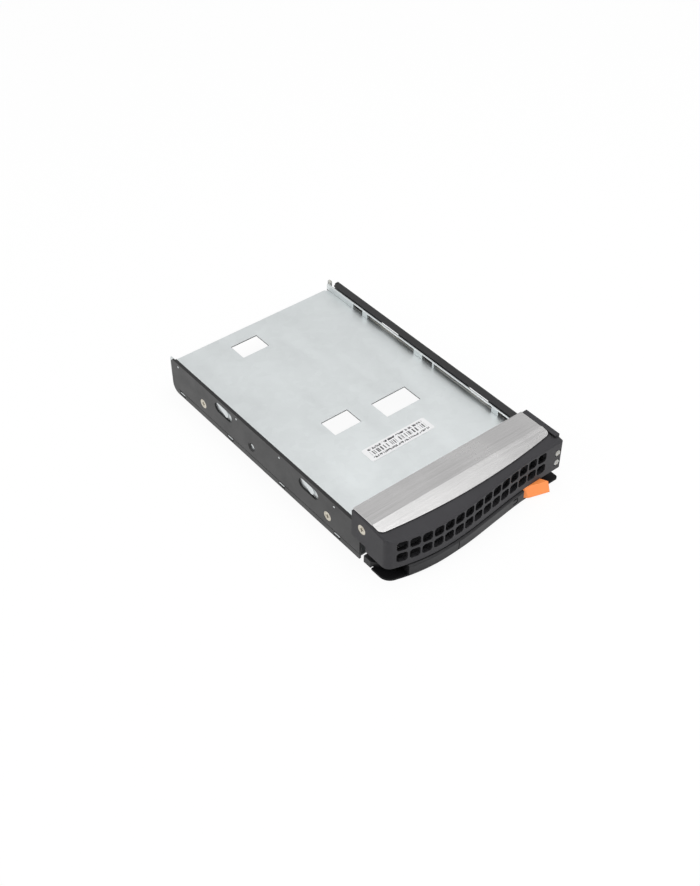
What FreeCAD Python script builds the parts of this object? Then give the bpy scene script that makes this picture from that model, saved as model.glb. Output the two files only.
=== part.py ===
"""Hot swap drive caddy: a 3.5 inch bay tray that carries a 2.5 inch drive.

Frame: +Z up, +Y to the connector end, -Y the handle end, +X right seen from
the handle end.  The origin is the middle of the footprint on the bottom plane.
Stations along Y are named as distances from the front side hole.
"""
import FreeCAD, Part
import os
import re

import Sketcher

FreeCAD.newDocument("hot_swap_drive_caddy")
doc = FreeCAD.ActiveDocument
V = FreeCAD.Vector

# ---------------------------------------------------------------- sizes, mm
SIZES = {
    # whole tray
    "half_width": 54.25, "sheet": 1.0, "plate_sheet": 0.6, "front_hole_y": -42.5,
    "side_hole_z": 9.0,
    "side_hole_pitch": 101.6, "middle_hole_lead": 41.6, "seat_gap": 0.3,
    # rails
    "rail_height": 21.0, "rail_tail": 28.5, "rail_nose": 23.5, "left_lip": 1.8,
    "channel_width": 2.8, "foot_flange": 4.0, "rail_tail_round": 5.0, "rail_top_cut": 1.6,
    "lip_tail_relief": 2.8, "lip_nose_relief": 1.5, "band_height": 3.2, "band_groove": 0.3,
    "hook_slot_length": 4.8, "hook_slot_height": 2.0, "hook_slot_reach": 3.2,
    "hook_first": -7.2, "hook_pitch": 42.8, "hook_tab_length": 4.0, "hook_tab_low": 1.0,
    "toe_reach": 7.0, "toe_front": 22.4, "toe_rear": 17.0,
    "pip_radius": 0.6, "pip_drop": 2.1, "pip_front": -5.0, "pip_second": 36.9,
    "pip_third": 72.1, "pip_rear": 123.4, "pip_clearance": 0.08,
    "boss_slot_length": 14.8, "boss_slot_height": 6.0, "boss_slot_z": 15.7,
    "boss_slot_front": 14.2, "boss_slot_rear": 83.3,
    "boss_radius": 2.3, "boss_lead": 1.4, "boss_tip_lead": 5.6, "boss_tip_rise": 2.1,
    "boss_tip": 0.5, "boss_rise": 0.6, "standoff_radius": 3.5, "tongue_reach": 30.0,
    "tongue_half_height": 2.8,
    # countersunk M3 screws
    "screw_radius": 1.5, "screw_head_radius": 2.55, "screw_head_depth": 0.95,
    "thread_clearance": 0.05, "head_clearance": 0.1, "thread_past_sheet": 1.2,
    "head_inset": 0.05, "ear_screw_length": 2.1,
    "recess_length": 2.6, "recess_width": 0.55, "recess_depth": 0.7,
    # adapter plate and the drive that it holds
    "drive_height": 15.0, "drive_lift": 0.6, "drive_width": 69.85, "drive_left": 32.5,
    "drive_front": 29.6, "drive_hole_lead": 11.1, "drive_hole_pitch": 76.6,
    "drive_hole_rise": 3.0, "drive_hole_radius": 1.6,
    "web_front": 23.2, "web_rear": 132.2, "skirt_front": 16.0, "skirt_bottom": 1.3,
    "tab_width": 11.4, "window_reach": 16.3, "stop_left": 60.8, "stop_width": 21.7,
    "stop_reach": 12.4, "stop_bottom": 4.6, "corner_cut": 2.0, "skirt_tail_cut": 6.0,
    "pipe_slot_height": 3.0, "pipe_slot_front": 0.5, "pipe_slot_length": 42.9,
    "pipe_slot_rear": 59.2, "pipe_slot_rear_length": 38.0, "pipe_window_length": 7.8,
    "pipe_window_height": 3.1, "clip_front": -8.0, "clip_pitch": 56.6,
    "pad_length": 8.0, "pad_top": 6.3,
    # label
    "label_left": 34.7, "label_front": 9.0, "label_length": 39.5, "label_width": 9.4,
    "label_thick": 0.15, "label_round": 1.2,
    # bezel
    "ear_back": 17.8, "ear_bottom": 11.4, "ear_wall": 1.0, "ear_foot": 27.7,
    "roof_front": 42.5, "bezel_bottom": 8.3, "bezel_top": 27.0,
    "bezel_front_top": 25.6, "roof_bend": 31.0, "ceiling_z": 24.1, "front_wall": 2.2,
    "side_wall": 2.2, "floor_wall": 1.5, "floor_rear": 29.0, "ear_rib": 0.25,
    "ear_rib_width": 2.9, "ear_rib_front": 40.0, "ear_screw_y": 24.8, "ear_screw_z": 20.1,
    "left_corner_round": 4.0, "right_corner_round": 1.2, "brow_chamfer": 0.7,
    "vent_pitch": 6.25, "vent_first": 7.2, "vent_width": 5.4, "vent_height": 5.5,
    "vent_low_z": 14.35, "vent_row_rise": 7.0, "vent_corner": 1.0, "vent_count": 15,
    "lamp_inset": 3.0, "lamp_high_drop": 2.4, "lamp_low_drop": 8.3, "lamp_bore": 2.0,
    "lamp_radius": 1.6, "lamp_length": 3.0,
    # front curve: crown, two arcs beside it, straight flank and reverse sweep
    "crown_place": 31.1, "crown_reach": 47.96, "crown_left_radius": 85.7,
    "crown_right_radius": 183.3, "flank_angle": 6.67, "sweep_radius": 170.2,
    "sweep_end": 15.95,
    # cover plate
    "cover_thick": 0.8, "cover_left": 0.9, "cover_right": 3.2, "cover_rear": 17.6,
    "cover_front": 36.8, "cover_bow": 3.8, "cover_round": 3.0, "cover_edge": 0.6,
    # light pipes
    "pipe_radius": 0.7, "pipe_run_drop": 5.3, "pipe_pitch": 1.8, "pipe_drop_start": 21.0,
    "pipe_drop_end": 31.0,
    "pipe_end": 130.95, "collector_length": 2.05, "collector_top": 21.0,
    "collector_width": 1.4, "clip_length": 6.0, "clip_floor": 0.6, "pipe_clearance": 0.05,
    # handle base
    "base_thick": 1.1, "base_rear": 32.0, "base_inset": 0.2,
    "base_wall": 1.5, "base_wall_left": 17.5, "base_round": 6.0,
    "base_right_round": 1.5, "catch_gap": 0.2, "catch_width": 2.6, "catch_depth": 2.0,
    "catch_top": 6.0, "catch_front": 40.3,
    # handle lever
    "lever_gap": 0.3, "lever_top_gap": 0.5, "pivot_inset": 9.5, "pivot_y": 36.5,
    "pin_radius": 1.5, "pin_clearance": 0.05, "hub_radius": 4.2, "lever_left": 10.2,
    "lever_right": 82.7, "lever_proud": 0.9, "lever_depth": 7.5, "lever_edge": 1.2,
    "lever_low_edge": 0.5, "nose_lean": 3.3, "nose_side_round": 1.2,
    "nose_top_round": 3.6,
    "claw_left": 0.3, "claw_width": 4.9, "claw_front": 31.0, "claw_depth": 4.8,
    "claw_top": 4.4, "claw_lift": 0.2, "arm_width": 5.0, "spring_well": 3.6,
    "spring_well_depth": 2.7, "seam_place": 38.0, "seam_width": 0.5, "seam_depth": 0.25,
    "mark_place": 77.6, "mark_size": 3.2, "mark_line": 0.7, "mark_depth": 0.5,
    # release latch
    "latch_right": 97.0, "latch_left_front": 42.4, "latch_right_front": 46.7,
    "latch_lean": 9.0, "latch_back_in": 2.8,
    "latch_rear": 41.2, "latch_gap": 0.3, "latch_lift": 0.2, "latch_edge": 0.4,
    "stem_radius": 0.7, "stem_y": 42.3, "stem_z": 4.9, "stem_left": 66.5,
    "stem_head": 2.0, "stem_head_half": 1.3, "stem_clearance": 0.1, "spring_room": 7.6,
    "hook_left": 91.2, "hook_width": 4.3, "hook_arm_width": 2.5, "hook_rear": 36.0,
    "hook_depth": 2.0, "hook_bottom": 1.9, "hook_top": 5.4,
    # springs
    "coil_wire": 0.3, "coil_radius": 2.6, "coil_step": 1.0, "coil_height": 1.8,
    "press_wire": 0.18, "press_radius": 1.03, "press_step": 1.8,
}

sheet = doc.addObject("Spreadsheet::Sheet", "Sizes")
for row, (name, value) in enumerate(SIZES.items(), start=1):
    sheet.set("A%d" % row, name)
    sheet.set("B%d" % row, str(value))
    sheet.setAlias("B%d" % row, name)
doc.recompute()


# ------------------------------------------------------------ small helpers
def bind(text):
    """Expression text in which each size name points at its cell."""
    def point(match):
        word = match.group(0)
        return "Sizes." + word if word in SIZES else word
    return re.sub(r"[a-z][a-z_]*", point, str(text))


def value(text):
    """Number that an expression gives now."""
    result = sheet.evalExpression(bind(text))
    return float(getattr(result, "Value", result))


def station(name):
    """Y of a station that is named ahead of the front side hole."""
    return "(front_hole_y - %s)" % name


def behind(name):
    """Y of a station that is named behind the front side hole."""
    return "(front_hole_y + %s)" % name


def from_left(name):
    """X of a place measured from the left outer face."""
    return "(%s - half_width)" % name


PLANES = {"XY": "XY_Plane", "XZ": "XZ_Plane", "YZ": "YZ_Plane"}
PROFILES = []


def new_body(label):
    """Empty body whose label names its file."""
    body = doc.addObject("PartDesign::Body", label)
    body.Label = label
    PROFILES.append(body)
    return body


def origin_plane(body, name):
    """One of the three origin planes of a body."""
    for feature in body.Origin.OriginFeatures:
        if feature.Role == PLANES[name]:
            return feature
    raise ValueError(name)


def fix_point(sketch, index, end, x_text, y_text):
    """Hold one point of a sketch at two expressions."""
    for kind, text in (("DistanceX", x_text), ("DistanceY", y_text)):
        number = sketch.addConstraint(
            Sketcher.Constraint(kind, -1, 1, index, end, value(text)))
        sketch.setExpression("Constraints[%d]" % number, bind(text))


def add_circle(sketch, centre, radius):
    """Circle held at its centre and by its radius."""
    middle = V(value(centre[0]), value(centre[1]), 0)
    index = sketch.addGeometry(Part.Circle(middle, V(0, 0, 1), value(radius)), False)
    fix_point(sketch, index, 3, centre[0], centre[1])
    fix_radius(sketch, index, radius)


def bulged(start, end, radius, side):
    """Middle point of an arc; side +1 keeps its centre left of the chord."""
    chord = end - start
    half = chord.Length / 2
    rise = radius - (radius * radius - half * half) ** 0.5
    across = V(-chord.y, chord.x, 0).normalize()
    return (start + end) * 0.5 - across * (rise * side)


def add_edge(sketch, start, end, point):
    """Line or arc from start to end; gives its index and its two end numbers."""
    if len(point) == 2:
        return sketch.addGeometry(Part.LineSegment(start, end), False), 1, 2
    middle = bulged(start, end, value(point[2]), point[3])
    if point[3] > 0:
        return sketch.addGeometry(Part.Arc(start, middle, end), False), 1, 2
    return sketch.addGeometry(Part.Arc(end, middle, start), False), 2, 1


def fix_radius(sketch, index, text):
    """Hold the radius of an arc or circle at an expression."""
    number = sketch.addConstraint(Sketcher.Constraint("Radius", index, value(text)))
    sketch.setExpression("Constraints[%d]" % number, bind(text))


def add_loop(sketch, points):
    """Closed outline; a point is (x, y) or (x, y, radius, side) for an arc to the next."""
    places = [V(value(p[0]), value(p[1]), 0) for p in points]
    edges = []
    for number, point in enumerate(points):
        end = places[(number + 1) % len(places)]
        edges.append(add_edge(sketch, places[number], end, point))
    for number, (index, begin, finish) in enumerate(edges):
        following = edges[(number + 1) % len(edges)]
        sketch.addConstraint(
            Sketcher.Constraint("Coincident", index, finish, following[0], following[1]))
        fix_point(sketch, index, begin, points[number][0], points[number][1])
        if len(points[number]) == 4:
            fix_radius(sketch, index, points[number][2])


def add_obround(sketch, centre, length, height):
    """Slot outline with round ends, long along the sketch's first axis."""
    x, y = centre
    reach, radius = "(%s - %s)/2" % (length, height), "%s/2" % height
    left, right = "%s - %s" % (x, reach), "%s + %s" % (x, reach)
    low, high = "%s - %s" % (y, radius), "%s + %s" % (y, radius)
    add_loop(sketch, [
        (left, low), (right, low, radius, 1), ("%s + %s" % (right, radius), y, radius, 1),
        (right, high), (left, high, radius, 1), ("%s - %s" % (left, radius), y, radius, 1)])


def add_rounded(sketch, centre, width, height, radius):
    """Rectangle with four equal corner arcs about a centre."""
    x, y = centre
    left, right = "%s - (%s)/2" % (x, width), "%s + (%s)/2" % (x, width)
    low, high = "%s - (%s)/2" % (y, height), "%s + (%s)/2" % (y, height)
    inner_left, inner_right = "%s + %s" % (left, radius), "%s - (%s)" % (right, radius)
    inner_low, inner_high = "%s + %s" % (low, radius), "%s - (%s)" % (high, radius)
    add_loop(sketch, [
        (inner_left, low), (inner_right, low, radius, 1),
        (right, inner_low), (right, inner_high, radius, 1),
        (inner_right, high), (inner_left, high, radius, 1),
        (left, inner_high), (left, inner_low, radius, 1)])


def add_bevelled(sketch, centre, width, height, corner):
    """Rectangle with four equal cut corners about a centre."""
    x, y = centre
    left, right = "%s - (%s)/2" % (x, width), "%s + (%s)/2" % (x, width)
    low, high = "%s - (%s)/2" % (y, height), "%s + (%s)/2" % (y, height)
    inner_left, inner_right = "%s + %s" % (left, corner), "%s - (%s)" % (right, corner)
    inner_low, inner_high = "%s + %s" % (low, corner), "%s - (%s)" % (high, corner)
    add_loop(sketch, [
        (inner_left, low), (inner_right, low), (right, inner_low), (right, inner_high),
        (inner_right, high), (inner_left, high), (left, inner_high), (left, inner_low)])


def polygon(centre, radius, sides):
    """Corner points of a regular polygon that stands on a flat side."""
    return [("%s + %s*cos(%s)" % (centre[0], radius, turn),
             "%s + %s*sin(%s)" % (centre[1], radius, turn))
            for turn in ("(%d + 0.5)*360/%d" % (number, sides) for number in range(sides))]


def rectangle(x_low, x_high, y_low, y_high):
    """Four corner points of an upright rectangle."""
    return [(x_low, y_low), (x_high, y_low), (x_high, y_high), (x_low, y_high)]


def draw(body, name, plane, offset, loops):
    """Sketch on an origin plane at an offset along the plane's normal."""
    sketch = body.newObject("Sketcher::SketchObject", name)
    sketch.AttachmentSupport = [(origin_plane(body, plane), "")]
    sketch.MapMode = "FlatFace"
    sketch.setExpression(".AttachmentOffset.Base.z", bind(offset))
    for kind, *sizes in loops:
        if kind == "circle":
            add_circle(sketch, sizes[0], sizes[1])
        elif kind == "obround":
            add_obround(sketch, *sizes)
        elif kind == "rounded":
            add_rounded(sketch, *sizes)
        elif kind == "bevelled":
            add_bevelled(sketch, *sizes)
        else:
            add_loop(sketch, sizes[0])
    doc.recompute()
    if "Invalid" in sketch.State or "Error" in sketch.State or sketch.Shape.isNull():
        raise RuntimeError(name + " has a sketch that does not solve")
    return sketch


def plane_offset(axis, place):
    """Offset along the sketch normal that puts the plane at a place."""
    return "-(%s)" % place if axis == "Y" else place


PIPS = ("pip_front", "pip_second", "pip_third", "pip_rear")
AXIS_PLANES = {"X": "YZ", "Y": "XZ", "Z": "XY"}


def pad(body, name, axis, low, high, loops):
    """Add material between two places along an axis."""
    base = high if axis == "Y" else low
    profile = draw(body, name + "_profile", AXIS_PLANES[axis], plane_offset(axis, base), loops)
    feature = body.newObject("PartDesign::Pad", name)
    feature.Profile = profile
    feature.setExpression("Length", bind("(%s) - (%s)" % (high, low)))
    doc.recompute()
    return feature


def cut(body, name, axis, low, high, loops):
    """Remove material between two places along an axis."""
    before = body.Shape.Volume
    base = low if axis == "Y" else high
    profile = draw(body, name + "_profile", AXIS_PLANES[axis], plane_offset(axis, base), loops)
    feature = body.newObject("PartDesign::Pocket", name)
    feature.Profile = profile
    feature.setExpression("Length", bind("(%s) - (%s)" % (high, low)))
    doc.recompute()
    if not 1e-6 < body.Shape.Volume < before - 1e-4:
        raise RuntimeError(name + " removes nothing")
    return feature


def repeat(body, name, feature, axis_sketch, length, count):
    """Linear pattern of one feature along the first axis of a sketch."""
    pattern = body.newObject("PartDesign::LinearPattern", name)
    pattern.Originals = [feature]
    pattern.Direction = (axis_sketch, ["H_Axis"])
    pattern.setExpression("Length", bind(length))
    pattern.setExpression("Occurrences", bind(count))
    body.Tip = pattern
    doc.recompute()
    return pattern


def edges_where(shape, test):
    """Names of the edges whose two end points and middle pass a test."""
    names = []
    for number, edge in enumerate(shape.Edges, start=1):
        box = edge.BoundBox
        if test(box):
            names.append("Edge%d" % number)
    return names


def faces_where(shape, test):
    """Names of the faces whose bounds pass a test."""
    return ["Face%d" % number for number, face in enumerate(shape.Faces, start=1)
            if test(face.BoundBox)]


def soften(body, name, kind, size, test):
    """Fillet or chamfer the edges that pass a test."""
    base = body.Tip
    names = edges_where(base.Shape, test)
    if not names:
        raise RuntimeError(name + " finds no edge")
    feature = body.newObject("PartDesign::" + kind, name)
    feature.Base = (base, names)
    feature.setExpression("Radius" if kind == "Fillet" else "Size", bind(size))
    doc.recompute()
    return feature


def near(first, second, slack=0.02):
    """True where two numbers agree."""
    return abs(first - second) < slack


# --------------------------------------------------------- shared positions
REAR_HOLE = "(front_hole_y + side_hole_pitch)"
MIDDLE_HOLE = "(front_hole_y + side_hole_pitch - middle_hole_lead)"
RAIL_REAR = "(front_hole_y + side_hole_pitch + rail_tail)"
WEB_UNDER = "(drive_lift + drive_height)"
WEB_TOP = "(drive_lift + drive_height + plate_sheet)"
UPSTAND_TOP = "(rail_height - sheet - seat_gap)"
RIGHT_SKIRT = "(half_width - sheet - channel_width)"
RIGHT_LIP = "(sheet + channel_width)"
DRIVE_HOLE_Z = "(drive_lift + drive_hole_rise)"
DRIVE_HOLE_FRONT = "(front_hole_y + drive_front + drive_hole_lead)"
DRIVE_HOLE_REAR = "(front_hole_y + drive_front + drive_hole_lead + drive_hole_pitch)"
CROWN_X = "(crown_place - half_width)"
CROWN_Y = "(front_hole_y - crown_reach)"
SWEEP_X = "(half_width - sweep_end)"
FLANK_RUN = ("(2*half_width - sweep_end - crown_place"
             " - (crown_right_radius + sweep_radius)*sin(flank_angle))")
RIGHT_CORNER_Y = ("(%s + (crown_right_radius + sweep_radius)*(1 - cos(flank_angle))"
                  " + %s*tan(flank_angle))" % (CROWN_Y, FLANK_RUN))
LAMP_HIGH = "(rail_height - lamp_high_drop)"
LAMP_LOW = "(rail_height - lamp_low_drop)"
PIPE_HIGH = "(rail_height - pipe_run_drop)"
PIPE_LOW = "(rail_height - pipe_run_drop - pipe_pitch)"
LAMP_X = "(half_width - lamp_inset)"
LEVER_LOW = "(base_thick + lever_gap)"
LEVER_HIGH = "(bezel_bottom - lever_top_gap)"
PIVOT_X = "(pivot_inset - half_width)"
PIVOT_Y = "(front_hole_y - pivot_y)"
LATCH_REST = "(lever_right - half_width + latch_gap)"


def flank_point(inset):
    """Where the right crown arc, or its inset copy, meets the straight flank."""
    turn = "(crown_right_radius - (%s))" % inset
    return ("(%s + %s*sin(flank_angle))" % (CROWN_X, turn),
            "(%s + crown_right_radius - %s*cos(flank_angle))" % (CROWN_Y, turn))


def sweep_point(inset):
    """Where the straight flank, or its inset copy, meets the reverse sweep."""
    turn = "(sweep_radius + (%s))" % inset
    return ("(%s - %s*sin(flank_angle))" % (SWEEP_X, turn),
            "(%s - sweep_radius + %s*cos(flank_angle))" % (RIGHT_CORNER_Y, turn))


def bow(x_text, inset="0"):
    """Y on the front curve, or on a copy of it set back by an inset."""
    x = value(x_text)
    if x < value(CROWN_X):
        middle, radius = CROWN_Y + " + crown_left_radius", "crown_left_radius"
    elif x < value(flank_point(inset)[0]):
        middle, radius = CROWN_Y + " + crown_right_radius", "crown_right_radius"
    elif x < value(sweep_point(inset)[0]):
        start = flank_point(inset)
        return "(%s + (%s - %s)*tan(flank_angle))" % (start[1], x_text, start[0])
    elif x < value(SWEEP_X):
        return ("(%s - sweep_radius + sqrt((sweep_radius + (%s))^2 - (%s - %s)^2))"
                % (RIGHT_CORNER_Y, inset, x_text, SWEEP_X))
    else:
        return "(%s + (%s))" % (RIGHT_CORNER_Y, inset)
    return "(%s - sqrt((%s - (%s))^2 - (%s - %s)^2))" % (middle, radius, inset, x_text, CROWN_X)


def front_points(left, right, inset, backwards=False):
    """Points of the front curve from one side to the other, with its arcs."""
    flank, sweep = flank_point(inset), sweep_point(inset)
    left_turn = "(crown_left_radius - (%s))" % inset
    right_turn = "(crown_right_radius - (%s))" % inset
    sweep_turn = "(sweep_radius + (%s))" % inset
    start, crown = (left, bow(left, inset)), (CROWN_X, "(%s + (%s))" % (CROWN_Y, inset))
    last, end = (SWEEP_X, bow(SWEEP_X, inset)), (right, bow(right, inset))
    if backwards:
        return [end, last + (sweep_turn, 1), sweep, flank + (right_turn, -1),
                crown + (left_turn, -1), start]
    return [start + (left_turn, 1), crown + (right_turn, 1), flank,
            sweep + (sweep_turn, -1), last, end]


# -------------------------------------------------------------------- rails
def make_rail(label, side):
    """Folded rail: wall, top lip, foot flange, slots, holes and front tongue."""
    body = new_body(label + "_sheet")
    sign = "-1" if side < 0 else "1"
    wide = "left_lip" if side < 0 else RIGHT_LIP

    def across(name):
        return "(%s*(half_width - (%s)))" % (sign, name)

    outline = [(across("0"), "0"), (across("foot_flange"), "0"),
               (across("foot_flange"), "sheet"), (across("sheet"), "sheet"),
               (across("sheet"), "rail_height - sheet"), (across(wide), "rail_height - sheet"),
               (across(wide), "rail_height"), (across("0"), "rail_height")]
    pad(body, label + "_fold", "Y", station("rail_nose"), RAIL_REAR, [("loop", outline)])
    low = across("0") if side < 0 else across(wide)
    high = across(wide) if side < 0 else across("0")
    inner_low = across("sheet") if side < 0 else across("foot_flange + 1")
    inner_high = across("foot_flange + 1") if side < 0 else across("sheet")

    # the ear of the bezel takes the place of the wall ahead of its rear edge
    cut(body, label + "_ear_seat", "Z", "ear_bottom", "rail_height + 1",
        [("loop", rectangle(low + " - 1", high + " + 1",
                            station("rail_nose") + " - 1", station("ear_back")))])
    cut(body, label + "_flange_nose", "Z", "-1", "sheet + 1",
        [("loop", rectangle(inner_low, inner_high,
                            station("rail_nose") + " - 1", station("ear_back")))])
    if side < 0:
        pad(body, label + "_toe", "Z", "0", "sheet",
            [("loop", rectangle(across("sheet*0.5"), across("toe_reach"),
                                station("toe_front"), station("toe_rear")))])
    lip_low = across("sheet") if side < 0 else across(wide + " + 1")
    lip_high = across(wide + " + 1") if side < 0 else across("sheet")
    cut(body, label + "_lip_reliefs", "Z", "rail_height - 2*sheet", "rail_height + 1",
        [("loop", rectangle(lip_low, lip_high, RAIL_REAR + " - lip_tail_relief",
                            RAIL_REAR + " + 1")),
         ("loop", rectangle(lip_low, lip_high, station("ear_back") + " - 1",
                            station("ear_back") + " + lip_nose_relief"))])
    # rounded lower and cut upper corner at the rear end
    corner = "(%s - rail_tail_round)" % RAIL_REAR
    cut(body, label + "_tail", "X", low + " - 6", high + " + 6",
        [("loop", [(corner, "0", "rail_tail_round", 1), (RAIL_REAR, "rail_tail_round"),
                   (RAIL_REAR + " + 1", "rail_tail_round"), (RAIL_REAR + " + 1", "-1"),
                   (corner, "-1")]),
         ("loop", [(RAIL_REAR + " - rail_top_cut", "rail_height"),
                   (RAIL_REAR + " + 1", "rail_height - rail_top_cut - 1"),
                   (RAIL_REAR + " + 1", "rail_height + 1"),
                   (RAIL_REAR + " - rail_top_cut", "rail_height + 1")])])
    make_rail_openings(body, label, side, across)
    make_rail_holes(body, label, side, across)
    return body


def make_rail_openings(body, label, side, across):
    """Hook slots and band groove along the foot, boss slots and pips above."""
    wall_low = across("0") + " - 1" if side < 0 else across("sheet")
    wall_high = across("sheet") if side < 0 else across("0") + " + 1"
    cut(body, label + "_boss_slots", "X", wall_low, wall_high,
        [("obround", (behind(place), "boss_slot_z"), "boss_slot_length", "boss_slot_height")
         for place in ("boss_slot_front", "boss_slot_rear")])
    hooks = []
    feet = []
    foot_low = across("sheet") if side < 0 else across("hook_slot_reach")
    foot_high = across("hook_slot_reach") if side < 0 else across("sheet")
    for number in range(4):
        middle = "(front_hole_y + hook_first + %d*hook_pitch)" % number
        low, high = middle + " - hook_slot_length/2", middle + " + hook_slot_length/2"
        hooks.append(("loop", rectangle(low, high, "sheet", "sheet + hook_slot_height")))
        feet.append(("loop", rectangle(foot_low, foot_high, low, high)))
    cut(body, label + "_hook_slots", "X", wall_low, wall_high, hooks)
    cut(body, label + "_hook_feet", "Z", "-1", "sheet", feet)
    groove_low = across("0") + " - 1" if side < 0 else across("band_groove")
    groove_high = across("band_groove") if side < 0 else across("0") + " + 1"
    cut(body, label + "_band", "X", groove_low, groove_high,
        [("loop", rectangle(station("rail_nose") + " - 1", RAIL_REAR + " - rail_tail_round",
                            "band_height", "band_height + band_groove"))])
    cut(body, label + "_pips", "X", wall_low, wall_high,
        [("circle", (behind(place), "rail_height - pip_drop"), "pip_radius")
         for place in PIPS])


def make_rail_holes(body, label, side, across):
    """Countersunk side holes, and on the right the standoffs beside the pipes."""
    holes = (station("0"), MIDDLE_HOLE, REAR_HOLE)
    if side > 0:
        pad(body, label + "_standoffs", "X", RIGHT_SKIRT, across("sheet"),
            [("circle", (place, "side_hole_z"), "standoff_radius") for place in holes])
    low = across("0") + " - 1" if side < 0 else RIGHT_SKIRT
    high = across("sheet") if side < 0 else across("0") + " + 1"
    cut(body, label + "_side_holes", "X", low, high,
        [("circle", (place, "side_hole_z"), "screw_radius + thread_clearance")
         for place in holes])
    # front tongue, set in by one sheet so that it lies behind the ear
    tongue_low = across("sheet") if side < 0 else across("2*sheet")
    tongue_high = across("2*sheet") if side < 0 else across("sheet")
    pad(body, label + "_tongue", "X", tongue_low, tongue_high,
        [("loop", rectangle(station("tongue_reach"), station("ear_back") + " + sheet",
                            "ear_screw_z - tongue_half_height",
                            "ear_screw_z + tongue_half_height"))])
    cut(body, label + "_ear_hole", "X", tongue_low, tongue_high,
        [("circle", (station("ear_screw_y"), "ear_screw_z"),
          "screw_radius + thread_clearance")])


def primitive(kind, name, sizes, place, turn=0.0):
    """Part primitive with bound sizes and place; turn swings +Z towards +X."""
    solid = doc.addObject(kind, name)
    solid.Placement = FreeCAD.Placement(V(0, 0, 0), FreeCAD.Rotation(V(0, 1, 0), turn))
    for size, text in sizes.items():
        solid.setExpression(size, bind(text))
    for axis, text in zip("xyz", place):
        solid.setExpression(".Placement.Base." + axis, bind(text))
    return solid


def joined(kind, label, first, second):
    """Boolean of two objects."""
    result = doc.addObject("Part::" + kind, label)
    result.Label = label
    result.Base = first
    result.Tool = second
    doc.recompute()
    return result


def outer_face(side):
    """X of the left or right outer face."""
    return "-half_width" if side < 0 else "half_width"


def countersunk(label, base, side, places):
    """Open conical seats for flush screw heads in an outer face."""
    turn = 90.0 if side < 0 else -90.0
    result = base
    for number, (y, z) in enumerate(places):
        last = number == len(places) - 1
        cone = primitive("Part::Cone", "%s_seat_%d" % (label, number),
                         {"Radius1": "screw_head_radius + head_clearance",
                          "Radius2": "screw_radius + thread_clearance",
                          "Height": "screw_head_depth + head_inset"},
                         (outer_face(side), y, z), turn)
        result = joined("Cut", label if last else "%s_sunk_%d" % (label, number), result, cone)
    return result


def make_screw(label, side, y, z, length):
    """Flush cross-recess screw whose axis runs inwards from an outer face."""
    turn = 90.0 if side < 0 else -90.0
    inward = "1" if side < 0 else "-1"
    face = "(%s + %s*head_inset)" % (outer_face(side), inward)
    head = primitive("Part::Cone", label + "_head",
                     {"Radius1": "screw_head_radius", "Radius2": "screw_radius",
                      "Height": "screw_head_depth"}, (face, y, z), turn)
    shank = primitive("Part::Cylinder", label + "_shank",
                      {"Radius": "screw_radius", "Height": length}, (face, y, z), turn)
    body = joined("Fuse", label + "_blank", head, shank)
    depth_low = face if side < 0 else face + " - recess_depth"
    bars = []
    for name, wide, tall in (("flat", "recess_length", "recess_width"),
                             ("tall", "recess_width", "recess_length")):
        bars.append(primitive("Part::Box", label + "_" + name,
                              {"Length": "recess_depth", "Width": wide, "Height": tall},
                              (depth_low, "%s - %s/2" % (y, wide), "%s - %s/2" % (z, tall))))
    cross = joined("Fuse", label + "_cross", bars[0], bars[1])
    return joined("Cut", label, body, cross)


# ------------------------------------------------------------ adapter plate
def make_plate():
    """Folded sheet: web, hemmed side walls, drive tabs and front stop."""
    body = new_body("adapter_plate")
    left, right = "(sheet - half_width)", RIGHT_SKIRT
    inner_left, inner_right = left + " + plate_sheet", right + " - plate_sheet"
    hem_left, hem_right = left + " + 2*plate_sheet", right + " - 2*plate_sheet"
    outline = [(left, "skirt_bottom"), (inner_left, "skirt_bottom"),
               (inner_left, WEB_UNDER), (inner_right, WEB_UNDER),
               (inner_right, "skirt_bottom"), (right, "skirt_bottom"),
               (right, UPSTAND_TOP), (hem_right, UPSTAND_TOP),
               (hem_right, WEB_TOP), (hem_left, WEB_TOP),
               (hem_left, UPSTAND_TOP), (left, UPSTAND_TOP)]
    pad(body, "web_and_walls", "Y", station("skirt_front"), behind("web_rear"),
        [("loop", outline)])
    top = value(UPSTAND_TOP)
    soften(body, "hem_rolls", "Fillet", "plate_sheet*0.9",
           lambda b: near(b.ZMin, top) and near(b.ZMax, top) and b.YLength > 10)
    pad(body, "web_nose", "Z", WEB_UNDER, WEB_TOP,
        [("loop", rectangle(hem_left, hem_right,
                            station("web_front"), station("skirt_front")))])
    add_drive_tabs(body)
    cut_plate_openings(body, left, right)
    return body


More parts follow.
